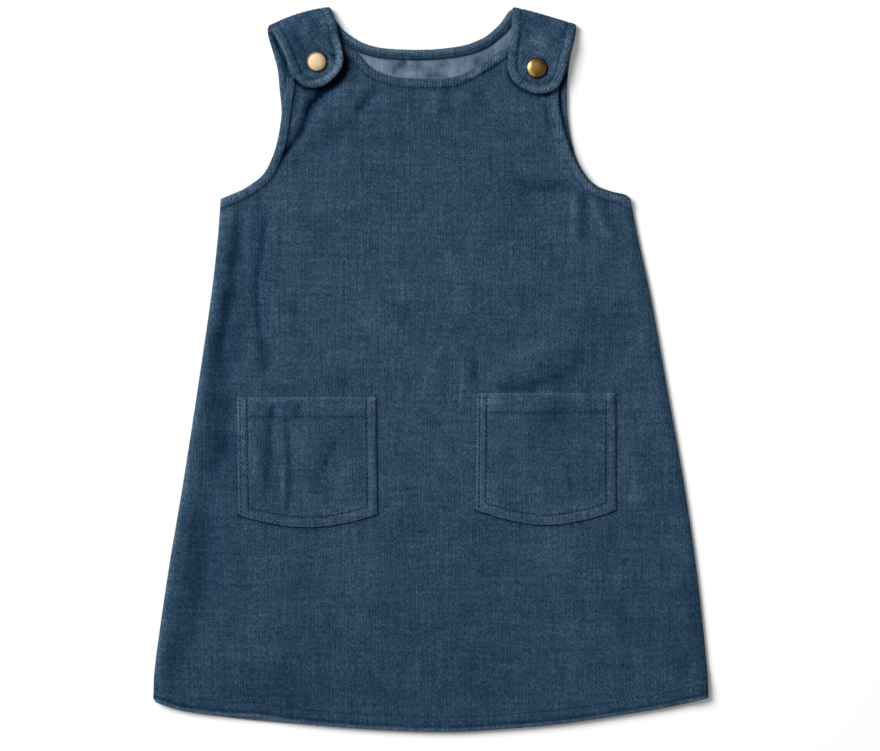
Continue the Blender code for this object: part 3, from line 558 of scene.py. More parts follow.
TAB_PATCHES = {
    "left": [
        (-101.2, 249.4, 4.5, 10, -0.13), (-87, 257.6, 3, 6, -0.2), (-96.8, 226.9, 3.5, 4, 0.04),
        (-75, 222.4, 6, 7, 0.16), (-92.2, 263.6, 4, 4, 0.45), (-78.8, 259.9, 3.2, 11, 0.42),
        (-112.5, 256.9, 5, 4.5, 0.6), (-78.4, 229.9, 3, 5, 0.6), (-89.2, 220.5, 4, 2.5, 0.7),
        (-96.8, 239.6, 3, 3, -0.28)
    ],
    "right": [
        (79.5, 244.9, 6, 6, 0.57), (96.8, 249.4, 5, 5, -0.26), (71.2, 258.4, 4, 8, -0.25), (85.5, 221.6, 5, 4, 0.08),
        (63.8, 231.4, 4, 10, 0.22), (105, 253.9, 3, 5, 0.4), (81, 235.1, 5, 3, 0.75), (70.9, 225.4, 2, 3, 0.5),
        (91.5, 222.4, 4, 6, 0.6), (77.2, 217.5, 4, 2, -0.3), (86.2, 212.6, 5, 2, 0.22), (59.2, 259.9, 2, 5, -0.25)
    ],
}
TAB_CREASES = {
    "left": [
        ((-68.2, 238.9, -67.1, 231.4, -69.8, 223.9, -75, 218.6, -81.8, 214.5, -89.2, 213, -96, 214.1), 2.2, 0.35, 0.25),
        ((-72.8, 231.4, -75, 223.9, -81.8, 217.9, -90, 216.4), 3.2, 0, 0.32),
        ((-119.2, 252.4, -114.8, 244.9, -111, 235.9, -107.2, 227.6, -103.5, 220.1), 1.6, 0.3, 1),
        ((-76.5, 270.4, -73.5, 261.4, -70.5, 251.6, -69, 243.4), 1.5, 0.2, -0.53),
        ((-76.5, 244.1, -73.5, 241.9, -70.5, 241.1), 1, -0.4, -0.18),
        ((-75.8, 236.6, -72.8, 233.6, -69, 235.1), 1, -0.4, -0.67), ((-72.8, 238.9, -67.5, 240.4), 1, 0.3, -0.38),
        ((-99.8, 231.4, -97.5, 225.4, -94.5, 219.4), 1.1, -0.3, 0.02), ((-98.2, 222.4, -95.2, 217.1), 1, -0.4, -0.23),
        ((-103.5, 261.4, -102, 251.6, -99, 241.9), 3, -0.2, -0.22),
        ((-94.5, 265.9, -93.8, 255.4, -95.2, 246.4), 3.2, 0.2, 0.49),
        ((-112.5, 263.6, -98.2, 268.1, -81.8, 270.4), 2.4, 0, -0.13),
    ],
    "right": [
        ((70.5, 267.4, 69.8, 259.9, 67.9, 251.6, 66, 242.6, 64.5, 232.9, 63.4, 222.4), 1, -0.5, -0.56),
        ((60, 262.9, 60.8, 253.9, 60.4, 244.9, 60, 232.9, 60, 223.9), 1.8, 0.4, -0.25),
        ((72.8, 264.4, 72.8, 255.4), 2, 0, 0.14),
        ((101.6, 256.9, 99, 247.9, 96, 238.9, 93, 229.9, 90, 221.6), 0.9, -0.4, 0.5),
        ((105, 252.4, 102, 241.9, 99, 232.9, 95.6, 223.9), 1.4, 0.3, 0.03),
        ((96.8, 253.9, 93.8, 243.4, 90, 232.9), 1.6, 0.1, 0.13),
        ((61.5, 217.1, 66.8, 211.9, 74.2, 208.5, 82.5, 207.4, 90, 209.2, 95.2, 214.1), 1.6, 0.35, 0.12),
        ((66, 214.9, 71.2, 213.4, 69, 210.4), 1.6, -0.4, -0.29),
        ((70.5, 253.9, 74.2, 250.9, 72, 246.4), 2.2, -0.3, -0.39), ((68.2, 237.4, 70.5, 231.4), 1.8, -0.2, -0.31),
        ((77.2, 247.9, 82.5, 243.4, 87.8, 244.9), 3.4, 0.1, 0.37),
        ((76.5, 259.9, 87.8, 256.9, 93.8, 253.9), 3.6, 0, -0.19),
    ],
}
INSIDE_CREASES = [
    # on the back's inner face, where it shows in the neck
    ((-50.2, 229.9, -41.2, 228.4, -33.8, 225.4), 4, 0.2, 0.42), ((-18, 231.4, -24, 226.5, -30, 220.1), 3, -0.5, -0.66),
    ((-21.8, 219.4, -14.2, 220.1, -5.2, 220.9), 3.2, 0.2, 0.6), ((-9.8, 229.9, -0.8, 229.1, 6.8, 229.1), 3, 0.1, 0.36),
    ((12, 231.4, 6.8, 226.1), 2.4, -0.4, -0.55), ((-5.2, 219, 6.8, 220.1), 2.4, -0.4, -0.5),
    ((11.2, 220.1, 18.8, 223.1, 26.2, 229.9), 4, 0.2, 0.3), ((34.5, 235.1, 34.5, 226.9), 2.4, -0.4, -0.55),
    ((44.2, 237.4, 51.8, 243.4), 4, 0.1, -0.02),
]
GLOOM = [
    # x and y of the places along it; its half-width and how much light it takes away
    ((-74.2, 268.1, -70.9, 259.9, -67.9, 250.9, -66.4, 241.9, -64.9, 232.9, -64.5, 225.4), 1.7, 0.66),
    ((-64.5, 229.9, -66, 222.4, -69.8, 216.8, -75, 211.9, -81.8, 208.5), 4, 1),
    ((-79.5, 208.1, -87.8, 208.9, -93.8, 209.6, -98.2, 212.2, -102, 215.6), 1.5, 0.85),
    ((-122.2, 255.4, -119.2, 249.4, -114.8, 241.1, -111.8, 233.6, -108.4, 225.4, -105.8, 217.9), 1.3, 0.62),
    ((-120.8, 253.9, -119.2, 247.9, -116.2, 241.1), 3.6, 0.32),
    ((57.8, 219.4, 61.5, 214.1, 67.5, 208.9, 77.2, 205.1, 85.5, 204.4, 93, 207, 98.2, 212.6, 102, 220.9), 1.3, 0.73),
    ((102.8, 225.4, 100.9, 219.4, 99.4, 210.4), 2.4, 0.58),
    ((97.1, 211.9, 97.1, 201.4, 98.6, 191.6, 100.9, 181.1, 103.9, 170.6, 106.5, 163.1), 1.1, 0.68),
]


def gloom(points):
    """How much light reaches the cloth beside and under the tabs, from 0 to 1."""
    light = np.ones(len(points))
    for places, half_width, strength in GLOOM:
        away = distance(points, spline(places, 2.5), 3 * half_width)
        light *= 1 - strength * np.exp(-(away / half_width) ** 4)
    return light


def patches(points, table):
    """The painted light and shade of a table of soft patches."""
    shade = np.zeros(len(points))
    for x, y, wide, high, amount in table:
        away = (points - (x, y)) / (wide, high)
        shade += amount * np.exp(-np.sum(away ** 2, axis=1))
    return shade


def creases(points, table):
    """The relief and the change of shade of a table of creases, each uneven along it and fading at its ends."""
    relief, shade = np.zeros(len(points)), np.zeros(len(points))
    for number, (places, half_width, height, lighter) in enumerate(table):
        line, reach = spline(places, 4.0), 3.2 * half_width
        away, along = nearest(points, line, reach)
        length = lengths(line)[-1]
        fade = ease(-0.03 * length, 0.16 * length, along) * ease(1.03 * length, 0.8 * length, along)
        uneven = 1 + 0.14 * np.sin(along * 2 * math.pi / (17 + number % 5 * 4) + number)
        width = half_width * (1 + 0.14 * np.sin(along * 2 * math.pi / 31 + 2 * number))
        form = uneven * fade * bell(away, width) * (away < reach)
        relief += height * form
        shade += lighter * form
    return np.where(relief < 0, CREASE_LIMIT * np.tanh(relief / CREASE_LIMIT), relief), shade


def puckers(place, seed):
    """Small uneven gathers along a stitched line, from -1 to 1."""
    points = np.column_stack([place, np.full(len(place), seed * 10.0)])
    return swell(points, 5.0, seed) * (0.65 + 0.35 * swell(points, 40.0, seed + 1))


def stitched_edge(away, place, depth, seed, puff=0.35, pucker=0.16, groove=0.5, rim_light=0.12, dark=0.35,
                  groove_width=GROOVE_WIDTH):
    """The relief and shade of an edge that is turned in and stitched: a puffed rim with painted light, its groove
    with painted shade, and puckers across both with painted light and shade."""
    rim = np.sin(math.pi * np.clip(away / depth, 0, 1))
    line = bell(away - depth, groove_width)
    gather = puckers(place, seed) * ease(0, 2, away) * ease(2.0 * depth, 0.9 * depth, away)
    relief = puff * rim - groove * line + pucker * gather
    # painted light on the rim, painted shade in the groove, painted light and shade on the puckers
    return relief, rim_light * ease(depth + 0.5, depth - 1.5, away) - dark * line + 0.5 * pucker * gather


def worn_ribs(points, seed):
    """How much of its wales the nap shows in a field, in soft patches."""
    return FIELD_RIBS * (1 + 0.5 * swell(points, 34.0, seed) + 0.3 * swell(points, 11.0, seed + 1))


def piled(ribs, wales):
    """How high the pile stands, from 0 at the foot of a clear groove to 1 on a crest."""
    return 1 - np.clip(ribs, 0, 1) * (1 - wales)


def rounded(away):
    """How far an edge's outer face falls below its full height, as a share of the wall."""
    t = np.clip(1 - away / RIM_ROUND, 0, 1)
    return 1 - np.sqrt(np.clip(1 - t ** 2, 0, 1))


# ---------------------------------------------------------------- cloth meshes

def wobble(grain):
    """How far the wales stray sideways from straight."""
    return 0.5 * np.sin(grain[:, 1] / 61.0 + grain[:, 0] / 93.0) + 0.25 * np.sin(grain[:, 1] / 23.0 + 1.7)


def wale_height(grain):
    """How high the wales stand, from 0 in a groove to 1 on a crest."""
    phase = ((grain[:, 0] - wobble(grain)) / WALE) % 1.0
    places, heights = zip(*WALE_SECTION, (1.0, 0.0))
    return np.interp(phase, places, heights)


def wale_points(loop, row, fine_zone):
    """Points inside a loop that lie along the wales, in close rows where the zone says so."""
    low, high = loop.min(axis=0) - WALE, loop.max(axis=0) + WALE
    places = np.array([place for place, _ in WALE_SECTION])
    x = (np.arange(math.floor(low[0] / WALE), math.ceil(high[0] / WALE))[:, None] + places).ravel() * WALE
    every = round(row / FINE_ROW)
    y = np.arange(math.floor(low[1] / FINE_ROW), math.ceil(high[1] / FINE_ROW)) * FINE_ROW
    grid_x, grid_y = (g.ravel() for g in np.meshgrid(x, y))
    number = np.repeat(np.arange(len(y)), len(x))
    points = np.column_stack([grid_x, grid_y])
    points[:, 0] += wobble(points)
    within = inside(points, loop)
    points, number = points[within], number[within]
    points = points[(number % every == 0) | fine_zone(points)]
    return points[distance(points, closed(loop[::2]), 4.0) > RIM_DEPTHS[-1] + 0.3]


def rim_points(loop, depths):
    """Rows of points that follow a loop inside it."""
    edge, rows = closed(loop[::2]), []
    for depth in depths:
        row = evenly(closed(loop + inward(loop) * depth), RIM_STEP)[:-1]
        row = row[inside(row, loop)]
        rows.append(row[distance(row, edge, 6.0) > 0.9 * depth - 0.05])
    return np.vstack(rows)


def even_points(loop, pitch):
    low, high = loop.min(axis=0), loop.max(axis=0)
    grid = [(x, y) for i, y in enumerate(np.arange(low[1], high[1], pitch * 0.866))
            for x in np.arange(low[0] + (i % 2) * pitch / 2, high[0], pitch)]
    grid = np.array(grid)
    grid = grid[inside(grid, loop)]
    return grid[distance(grid, closed(loop[::2])) > 0.5 * pitch]


def triangles(loop, extra, holes=(), stretch=1.0):
    """Points and triangles of a flat region: its loop, its holes and points inside it. The triangles are shaped as
    if lengths along Y were divided by the stretch."""
    scale = np.array([1.0, 1.0 / stretch])
    points, edges = [], []
    for line in (loop, *holes):
        first = len(points)
        points += [Vector(p) for p in line * scale]
        edges += [(first + i, first + (i + 1) % len(line)) for i in range(len(line))]
    points += [Vector(p) for p in extra * scale]
    flat, _, faces, *_ = delaunay_2d_cdt(points, edges, [], 1, 1e-6)
    flat = np.array([tuple(p) for p in flat]) / scale
    faces = np.array([tuple(f) for f in faces])
    centres = flat[faces].mean(axis=1)
    kept = inside(centres, loop)
    for hole in holes:
        kept &= ~inside(centres, hole)
    a, b, c = (flat[faces[:, i]] for i in range(3))
    turn = (b[:, 0] - a[:, 0]) * (c[:, 1] - a[:, 1]) - (b[:, 1] - a[:, 1]) * (c[:, 0] - a[:, 0])
    kept &= np.abs(turn) > 1e-7
    return flat, np.where(turn[:, None] > 0, faces, faces[:, ::-1])[kept]


def cloth(name, loop, outer, inner, materials, fine_zone, holes=(), row=WALE_ROW, coarse=9.0, up=True, bias=0.0,
          seen=None):
    """A closed piece of cord. Outer and inner give places in space for flat points. Outer takes how high the wales
    stand too, and gives how high the pile stands and its shade. Its wales are real on the outer face, and its edges
    are rounded. Bias is the angle of its grain in degrees. Seen holds more points for the part of its inner face that
    shows."""
    def to_flat(points):
        return turned(points, bias)

    loop, holes = turned(loop, -bias), [turned(hole, -bias) for hole in holes]
    fine = np.vstack([rim_points(loop, RIM_DEPTHS), wale_points(loop, row, lambda p: fine_zone(to_flat(p)))])
    plain = np.vstack([rim_points(loop, (3.0,)), even_points(loop, coarse)])
    if seen is not None:
        plain = np.vstack([plain, seen])
    for hole in holes:
        fine = fine[~inside(fine, hole) & (distance(fine, closed(hole)) > 0.3)]
        plain = plain[~inside(plain, hole) & (distance(plain, closed(hole)) > 1.5)]
    fine_grain, fine_faces = triangles(loop, fine, holes, stretch=4.0)
    plain_grain, plain_faces = triangles(loop, plain, holes)
    outer_points, pile, shade = outer(to_flat(fine_grain), wale_height(fine_grain))
    inner_points, inner_shade = inner(to_flat(plain_grain))
    rim = len(loop) + sum(len(hole) for hole in holes)
    out = outer(to_flat(loop - 0.5 * inward(loop)), np.ones(len(loop)))[0] - outer_points[:len(loop)]
    out /= np.maximum(np.linalg.norm(out, axis=1), 1e-6)[:, None]
    middle = 0.45 * outer_points[:rim] + 0.55 * inner_points[:rim]
    middle[:len(loop)] += RIM_BULGE * out
    points = np.vstack([outer_points, inner_points, middle])
    first_inner, first_middle = len(outer_points), len(outer_points) + len(inner_points)
    faces = [tuple(f) for f in fine_faces] + [tuple(f[::-1]) for f in plain_faces + first_inner]
    kinds = [0] * len(fine_faces) + [1] * len(plain_faces)
    start = 0
    for line in (loop, *holes):
        for i in range(len(line)):
            a, b = start + i, start + (i + 1) % len(line)
            faces += [(a, first_middle + a, first_middle + b, b),
                      (first_middle + a, first_inner + a, first_inner + b, first_middle + b)]
            kinds += [0, 0]
        start += len(line)
    if not up:
        faces = [f[::-1] for f in faces]
    return add_mesh(name, points, faces, materials, kinds,
                    pile=np.concatenate([pile, np.ones(len(plain_grain)), pile[:rim]]),
                    shade=np.concatenate([shade, inner_shade, shade[:rim]]),
                    grain=np.vstack([fine_grain, plain_grain, plain_grain[:rim]]))


def add_mesh(name, points, faces, materials, kinds=None, pile=None, shade=None, grain=None):
    """A smooth mesh of points in millimetres, with how high its pile stands, its shade and its place in the cloth."""
    mesh = bpy.data.meshes.new(name)
    mesh.from_pydata([tuple(p) for p in points * MM], [], [tuple(int(i) for i in f) for f in faces])
    for material in materials:
        mesh.materials.append(material)
    if kinds is not None:
        mesh.polygons.foreach_set("material_index", kinds)
    for key, values in (("pile", pile), ("shade", shade)):
        if values is not None:
            mesh.attributes.new(key, "FLOAT", "POINT").data.foreach_set("value", values.astype(np.float32))
    if grain is not None:
        corners = np.empty(len(mesh.loops), np.int32)
        mesh.loops.foreach_get("vertex_index", corners)
        mesh.uv_layers.new(name="grain").data.foreach_set("uv", (grain[corners] * MM).astype(np.float32).ravel())
    mesh.shade_smooth()
    return add_object(name, mesh)


def add_object(name, data):
    thing = bpy.data.objects.new(name, data)
    bpy.context.scene.collection.objects.link(thing)
    return thing


# ---------------------------------------------------------------- stitches

def sew(name, rows, place, material, thickness=THREAD, step=STITCH, length=STITCH_LENGTH, proud=0.1):
    """All the stitches of a piece as one mesh. Each is a short capsule whose ends dip into the cloth."""
    along = np.array([0.0, 0.12, 0.35, 0.65, 0.88, 1.0])
    size = np.array([0.35, 0.85, 1.0, 1.0, 0.85, 0.35])
    dip = np.array([-0.55, -0.15, 0.0, 0.0, -0.15, -0.55]) * thickness + proud
    around = np.arange(6) * math.pi / 3
    solids = []
    for row in rows:
        row = evenly(np.array(row, float), 0.5)
        at = lengths(row)
        count = max(1, int(at[-1] / step))
        starts = (np.arange(count) + 0.5) * at[-1] / count - length / 2
        where = (starts[:, None] + length * along).ravel()
        flat = np.column_stack([np.interp(where, at, row[:, i]) for i in (0, 1)])
        wales = np.full(len(flat), SEWN_WALE)
        middle = place(flat, wales)[0]
        up = place(flat, wales, lift=1.0)[0] - middle
        up /= np.maximum(np.linalg.norm(up, axis=1), 1e-6)[:, None]
        middle, up = middle.reshape(count, -1, 3), up.reshape(count, -1, 3)
        run = np.gradient(middle, axis=1)
        run /= np.maximum(np.linalg.norm(run, axis=2), 1e-6)[..., None]
        across = np.cross(run, up)
        centre = middle + up * dip[:, None]
        ring = np.cos(around)[:, None] * across[:, :, None] + np.sin(around)[:, None] * up[:, :, None]
        solids.append((centre[:, :, None] + ring * (thickness / 2 * size)[:, None, None]).reshape(count, -1, 3))
    solids = np.vstack(solids)
    shell = [(i * 6 + j, i * 6 + 6 + j, i * 6 + 6 + (j + 1) % 6, i * 6 + (j + 1) % 6)
             for i in range(len(along) - 1) for j in range(6)]
    shell += [tuple(range(6)), tuple(range(len(along) * 6 - 1, len(along) * 6 - 7, -1))]
    each = solids.shape[1]
    faces = [tuple(number * each + i for i in face) for number in range(len(solids)) for face in shell]
    piece = add_mesh(name, solids.reshape(-1, 3), faces, [material])
    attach(piece, "root")
    return piece


def declare(piece, solid):
    """Attaches a piece to the root and hides the solid that it stands for."""
    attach(piece, "root")
    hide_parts(solid)


# ---------------------------------------------------------------- materials

TONE_POWERS = (1.44, 1.0, 0.76)         # how strongly the nap's red, green and blue follow its tone
INSIDE_POWERS = (1.2, 1.0, 0.84)
BRASS_POWERS = (0.92, 1.0, 1.3)
NAP = [
    # noise scale per metre, its stretch across and along the wales, its detail, how much it darkens and lightens
    (1350, (1, 0.75), 1, 0.58), (620, (1, 0.6), 1, 0.26), (480, (1, 0.06), 1, 0.14), (300, (0.08, 1), 1, 0.11),
    (240, (1, 1), 1, 0.12), (80, (1, 0.8), 1, 0.11), (20, (1, 0.6), 1, 0.07),
]
INSIDE_BLOTCHES = [(85, (1, 0.6), 3, 0.38), (330, (1, 0.08), 2, 0.14), (700, (1, 1), 2, 0.15)]


def new_material(name, values):
    """A material with the values that are the same all over it, its nodes and its shader's inputs."""
    material = bpy.data.materials.new(name)
    material.use_nodes = True
    inputs = material.node_tree.nodes["Principled BSDF"].inputs
    for key, value in values.items():
        inputs[key].default_value = value
    return material, material.node_tree, inputs


def node(tree, kind, values, output=0, **settings):
    """An output of a new node with these settings, and with values or links for its inputs."""
    made = tree.nodes.new("ShaderNode" + kind)
    for key, value in settings.items():
        setattr(made, key, value)
    for key, value in values.items():
        if isinstance(value, bpy.types.NodeSocket):
            tree.links.new(value, made.inputs[key])
        else:
            made.inputs[key].default_value = value
    return made.outputs[output]


def attribute(tree, name):
    return node(tree, "Attribute", {}, "Fac", attribute_name=name)


def noise(tree, vector, scale, detail=2.0, rough=0.5):
    return node(tree, "TexNoise", {"Vector": vector, "Scale": scale, "Detail": detail, "Roughness": rough})


def grain_of(tree, across=1.0, along=1.0):
    uv = node(tree, "UVMap", {}, uv_map="grain")
    return node(tree, "Mapping", {"Vector": uv, "Scale": (across, along, 1.0)})


def ramp(tree, factor, low, high, start=0.3, end=0.7):
    """A number that runs from low to high as a factor runs from start to end."""
    return node(tree, "MapRange", {"Value": factor, "From Min": start, "From Max": end, "To Min": low, "To Max": high})


def combined(tree, operation, first, second):
    return node(tree, "Math", {0: first, 1: second}, operation=operation)


def scaled(tree, colour, amount):
    return node(tree, "VectorMath", {0: colour, "Scale": amount}, operation="SCALE")


def toned(tree, colour, tone, powers):
    """A colour at a tone from dark to light, where each of its parts follows the tone more or less strongly."""
    parts = [combined(tree, "POWER", tone, power) for power in powers]
    mixed = node(tree, "CombineXYZ", dict(zip("XYZ", parts)))
    return node(tree, "VectorMath", {0: mixed, 1: colour}, operation="MULTIPLY")


def mottled(tree, tone, table, rough=0.5):
    """A tone varied by a table of noises in the grain of the cloth."""
    for scale, stretch, detail, amount in table:
        factor = noise(tree, grain_of(tree, *stretch), scale, detail, rough)
        tone = combined(tree, "MULTIPLY", tone, ramp(tree, factor, 1 - amount, 1 + amount))
    return tone


def bumped(tree, inputs, height, strength, distance):
    bump = node(tree, "Bump", {"Height": height, "Strength": strength, "Distance": distance})
    tree.links.new(bump, inputs["Normal"])


def cord_material(name, colour, groove):
    """Corduroy: grooves painted darker, as painted shade, brushed crests with streaks, specks and blotches in the nap,
    and a soft sheen.
    """
    material, tree, inputs = new_material(name, {
        "Roughness": 0.92, "Specular IOR Level": 0.05, "Sheen Weight": 0.05, "Sheen Roughness": 0.4,
        "Sheen Tint": (0.5, 0.72, 0.95, 1)})
    # painted shade in the grooves, and the painted light and shade that the shade attribute holds
    depth = ramp(tree, attribute(tree, "pile"), groove, 1.0, 0.0, 1.0)
    tone = mottled(tree, combined(tree, "MULTIPLY", attribute(tree, "shade"), depth), NAP)
    tree.links.new(toned(tree, colour, tone, TONE_POWERS), inputs["Base Color"])
    bumped(tree, inputs, noise(tree, grain_of(tree), 1700.0, 3.0, 0.6), 0.5, 0.0005)
    return material


def inside_material(name, colour):
    """The wrong side of the cord: a paler, flat twill with soft blotches."""
    material, tree, inputs = new_material(name, {"Roughness": 0.9, "Specular IOR Level": 0.2})
    twill = node(tree, "TexWave", {"Vector": grain_of(tree), "Scale": 260.0, "Distortion": 1.0, "Detail": 1.0}, "Fac",
                 bands_direction="DIAGONAL")
    tone = combined(tree, "MULTIPLY", attribute(tree, "shade"), ramp(tree, twill, 0.97, 1.03, 0.0, 1.0))
    tone = mottled(tree, tone, INSIDE_BLOTCHES, 0.6)
    tree.links.new(toned(tree, colour, tone, INSIDE_POWERS), inputs["Base Color"])
    bumped(tree, inputs, twill, 0.3, 0.0002)
    return material


def thread_material(name, colour):
    """Twisted polyester thread, close to the cloth's colour."""
    material, tree, inputs = new_material(name, {"Roughness": 0.85, "Specular IOR Level": 0.05})
    twist = noise(tree, node(tree, "TexCoord", {}, "Object"), 2500.0)
    tree.links.new(scaled(tree, colour, ramp(tree, twist, 0.7, 1.3)), inputs["Base Color"])
    return material


def brass_material(name, colour, metallic, roughness):
    """Brass with painted light where the shade is high and painted shade where it is low, and a noise of tarnish."""
    material, tree, inputs = new_material(name, {"Metallic": metallic})
    place = node(tree, "TexCoord", {}, "Object")
    tarnish = noise(tree, place, 350.0, 4.0, 0.6)
    body = toned(tree, colour, attribute(tree, "shade"), BRASS_POWERS)
    tree.links.new(scaled(tree, body, ramp(tree, tarnish, 0.93, 1.07)), inputs["Base Color"])
    rough = ramp(tree, noise(tree, place, 900.0), roughness - 0.05, roughness + 0.07, 0.0, 1.0)
    tree.links.new(rough, inputs["Roughness"])
    bumped(tree, inputs, tarnish, 0.05, 0.0002)
    return material


cord = cord_material("cord", (0.0254, 0.0551, 0.0949), 0.57)
wrong_side = inside_material("cord_inside", (0.082, 0.126, 0.186))
thread = thread_material("thread", (0.004, 0.018, 0.040))
dark_thread = thread_material("dark_thread", (0.0055, 0.0155, 0.032))
pale_thread = thread_material("pale_thread", (0.060, 0.100, 0.150))
# one brass for both caps, painted paler on the left cap and darker on the right, as painted light: the two caps catch
# the light differently
brass_painted_pale = brass_material("brass_painted_pale", (0.69, 0.53, 0.33), 0.25, 0.6)
brass_painted_dark = brass_material("brass_painted_dark", (0.315, 0.195, 0.060), 0.85, 0.33)


# ---------------------------------------------------------------- the front

def pocket_sewn(mouth, bottom, bow, step):
    """The three sewn edges of a pocket, from the mouth's left end down and round to its right end."""
    (left, right), (low_left, low_right) = np.array(mouth), np.array(bottom)
    t = np.linspace(0, 1, 61)
    curve = low_left + np.outer(t, low_right - low_left)
    curve[:, 1] -= bow * (1 - np.abs(2 * t - 1) ** 1.8)
    return np.vstack([evenly(np.array([left, curve[0]]), step)[:-1], evenly(curve, step),
                      evenly(np.array([curve[-1], right]), step)[1:]])


def under_pockets(points):
    """Where the front lies in the narrow shadow along a pocket's bottom and its far side, from 0 to 1."""
    dark = np.zeros(len(points))
    for sizes in POCKETS.values():
        line = pocket_sewn(**sizes, step=2.0)
        near_side = math.dist(sizes["mouth"][0], sizes["bottom"][0])
        away = distance(points, line[lengths(line) > near_side - 1.0], 5.0)
        under = ease(0.5, -0.5, points[:, 1] - sizes["bottom"][1][1])
        dark = np.maximum(dark, bell(away - 0.6, 0.85) * (0.3 + 0.7 * under) * ~inside(points, join(line)))
    return dark


def front_creased(points):
    """The front's underside, which follows its creases down as far as the back, and its creases with their painted
    shade, and the painted light and shade of its patches.
    """
    relief, shade = creases(points, FRONT_CREASES)
    relief += 0.16 * swell(points, 45, 3) + 0.06 * swell(points, 17, 5)
    relief *= ease(1, 12, distance(points, guides["front_loop"]))
    floor = back_inner(points) + 0.15
    smooth = np.maximum(front_inner(points) + fold_relief(points), floor)
    on_facing = np.zeros(len(points))
    for name, foot in FACING_FOOT.items():
        near = ease(FACING_WIDTH + 4, FACING_WIDTH + 2, distance(points, guides["back_armhole_" + name], 12.0))
        on_facing = np.maximum(on_facing, near * (points[:, 1] > foot - 6))
    low = np.maximum(smooth + 0.6 * np.minimum(relief, 0), floor + on_facing * (smooth - floor))
    return low, smooth + relief, shade + patches(points, FRONT_PATCHES)


def front_surface(points):
    """The front's underside, its outer face without its wales, how much its wales show, and its painted light and
    shade.
    """
    height = points[:, 1]
    low, creased, shade = front_creased(points)
    relief = np.zeros(len(points))
    ribs = worn_ribs(points, 41)
    free = ease(240, 214, height)
    for line, depth, look in (
            ("front_neck", TURN_DEPTH, dict(seed=11, puff=0.2, pucker=0.22, rim_light=0.25)),
            ("front_armhole_left", ARMHOLE_STITCH, dict(seed=12, puff=0.4, groove=0.45, rim_light=0.3, dark=0.5,
                                                          groove_width=0.6)),
            ("front_armhole_right", TURN_DEPTH + 0.5, dict(seed=13, puff=0.25, groove=0.25, pucker=0.1, rim_light=0.3,
                                                           dark=0.15)),
            ("front_hem", HEM_DEPTH, dict(seed=14, puff=0.12, groove=0.3, pucker=0.08, rim_light=0.0, dark=0.12))):
        away, place = nearest(points, guides[line])
        edge_relief, edge_shade = stitched_edge(away, place, depth, **look)
        share = free if "armhole" in line else 1.0
        relief, shade = relief + edge_relief * share, shade + edge_shade * share
        if line == "front_neck":
            ribs += 0.7 * ease(depth + 2, depth - 2, away)
        elif line != "front_hem":
            ribs += 0.5 * ease(depth, depth - 3, away)
    # painted shade, darker towards the hem
    shade -= 0.12 * ease(-60, -200, height)
    # painted light on the left side's edge, which faces the light, and on the hem's fold, with painted shade just
    # inside the fold; and on the right armhole's rim painted light, with a painted shadow at its very edge
    edge = distance(points, guides["front_loop"], 8.0)
    shade += 0.5 * ease(4.0, 1.0, edge) * ease(-120, -150, points[:, 0]) * ease(-240, -225, height)
    hem = distance(points, guides["front_hem"])
    shade += 1.3 * ease(3.0, 1.4, hem) - 0.4 * bell(hem - 4.0, 1.0)
    right_rim = distance(points, guides["front_armhole_right"])
    shade += free * (0.3 * bell(right_rim - 3.2, 2.0) - 0.75 * ease(1.3, 0.4, right_rim))
    shade -= 0.9 * under_pockets(points)
    top = np.maximum(creased + front_wall(points) + relief, low + 0.5)
    return low, top, ribs, np.maximum((1 + shade) * gloom(points), 0.05)


def front_places(points, wales, lift=0.0):
    low, top, ribs, shade = front_surface(points)
    pile = piled(ribs, wales)
    top = top - WALE_DEPTH * (1 - pile) + lift
    away = distance(points, closed(front_edge[::2]), 6.0)
    return np.column_stack([points, top - 0.5 * (top - low) * rounded(away)]), pile, shade


def front_under(points):
    return np.column_stack([points, front_creased(points)[0]]), np.ones(len(points))


def front_fine(points):
    """Where the front's mesh has close rows: along its stitched edges."""
    zone = distance(points, guides["front_hem"]) < HEM_DEPTH + 3.0
    for line in FRONT_TURNED:
        zone |= distance(points, guides[line]) < TURN_DEPTH + 7.0
    return zone | (under_pockets(points) > 0.02) | (gloom(points) < 0.93)


front = cloth("front_cloth", front_edge, front_places, front_under, [cord, wrong_side], front_fine, coarse=7.0)
declare(front, "front_panel")
neck, armhole_left, armhole_right = (spline(EDGES[line], 2.0) for line in FRONT_TURNED)
front_rows = [moved_in(front_hem_line(2.0), HEM_DEPTH, 1.0), moved_in(neck, TURN_DEPTH, 6.0),
              moved_in(armhole_left[::-1], ARMHOLE_STITCH, 1.0), moved_in(armhole_right, TURN_DEPTH + 0.5, 1.0)]
sew("front_stitches", front_rows, front_places, thread)


# ---------------------------------------------------------------- the back and its straps

def on_strap(fold, points):
    """Where flat points are on a strap that is bent or lies past its fold."""
    u, s = fold.local(points)
    return (s > STRAP_START) & (np.abs(u) < STRAP_SIDE), u, s


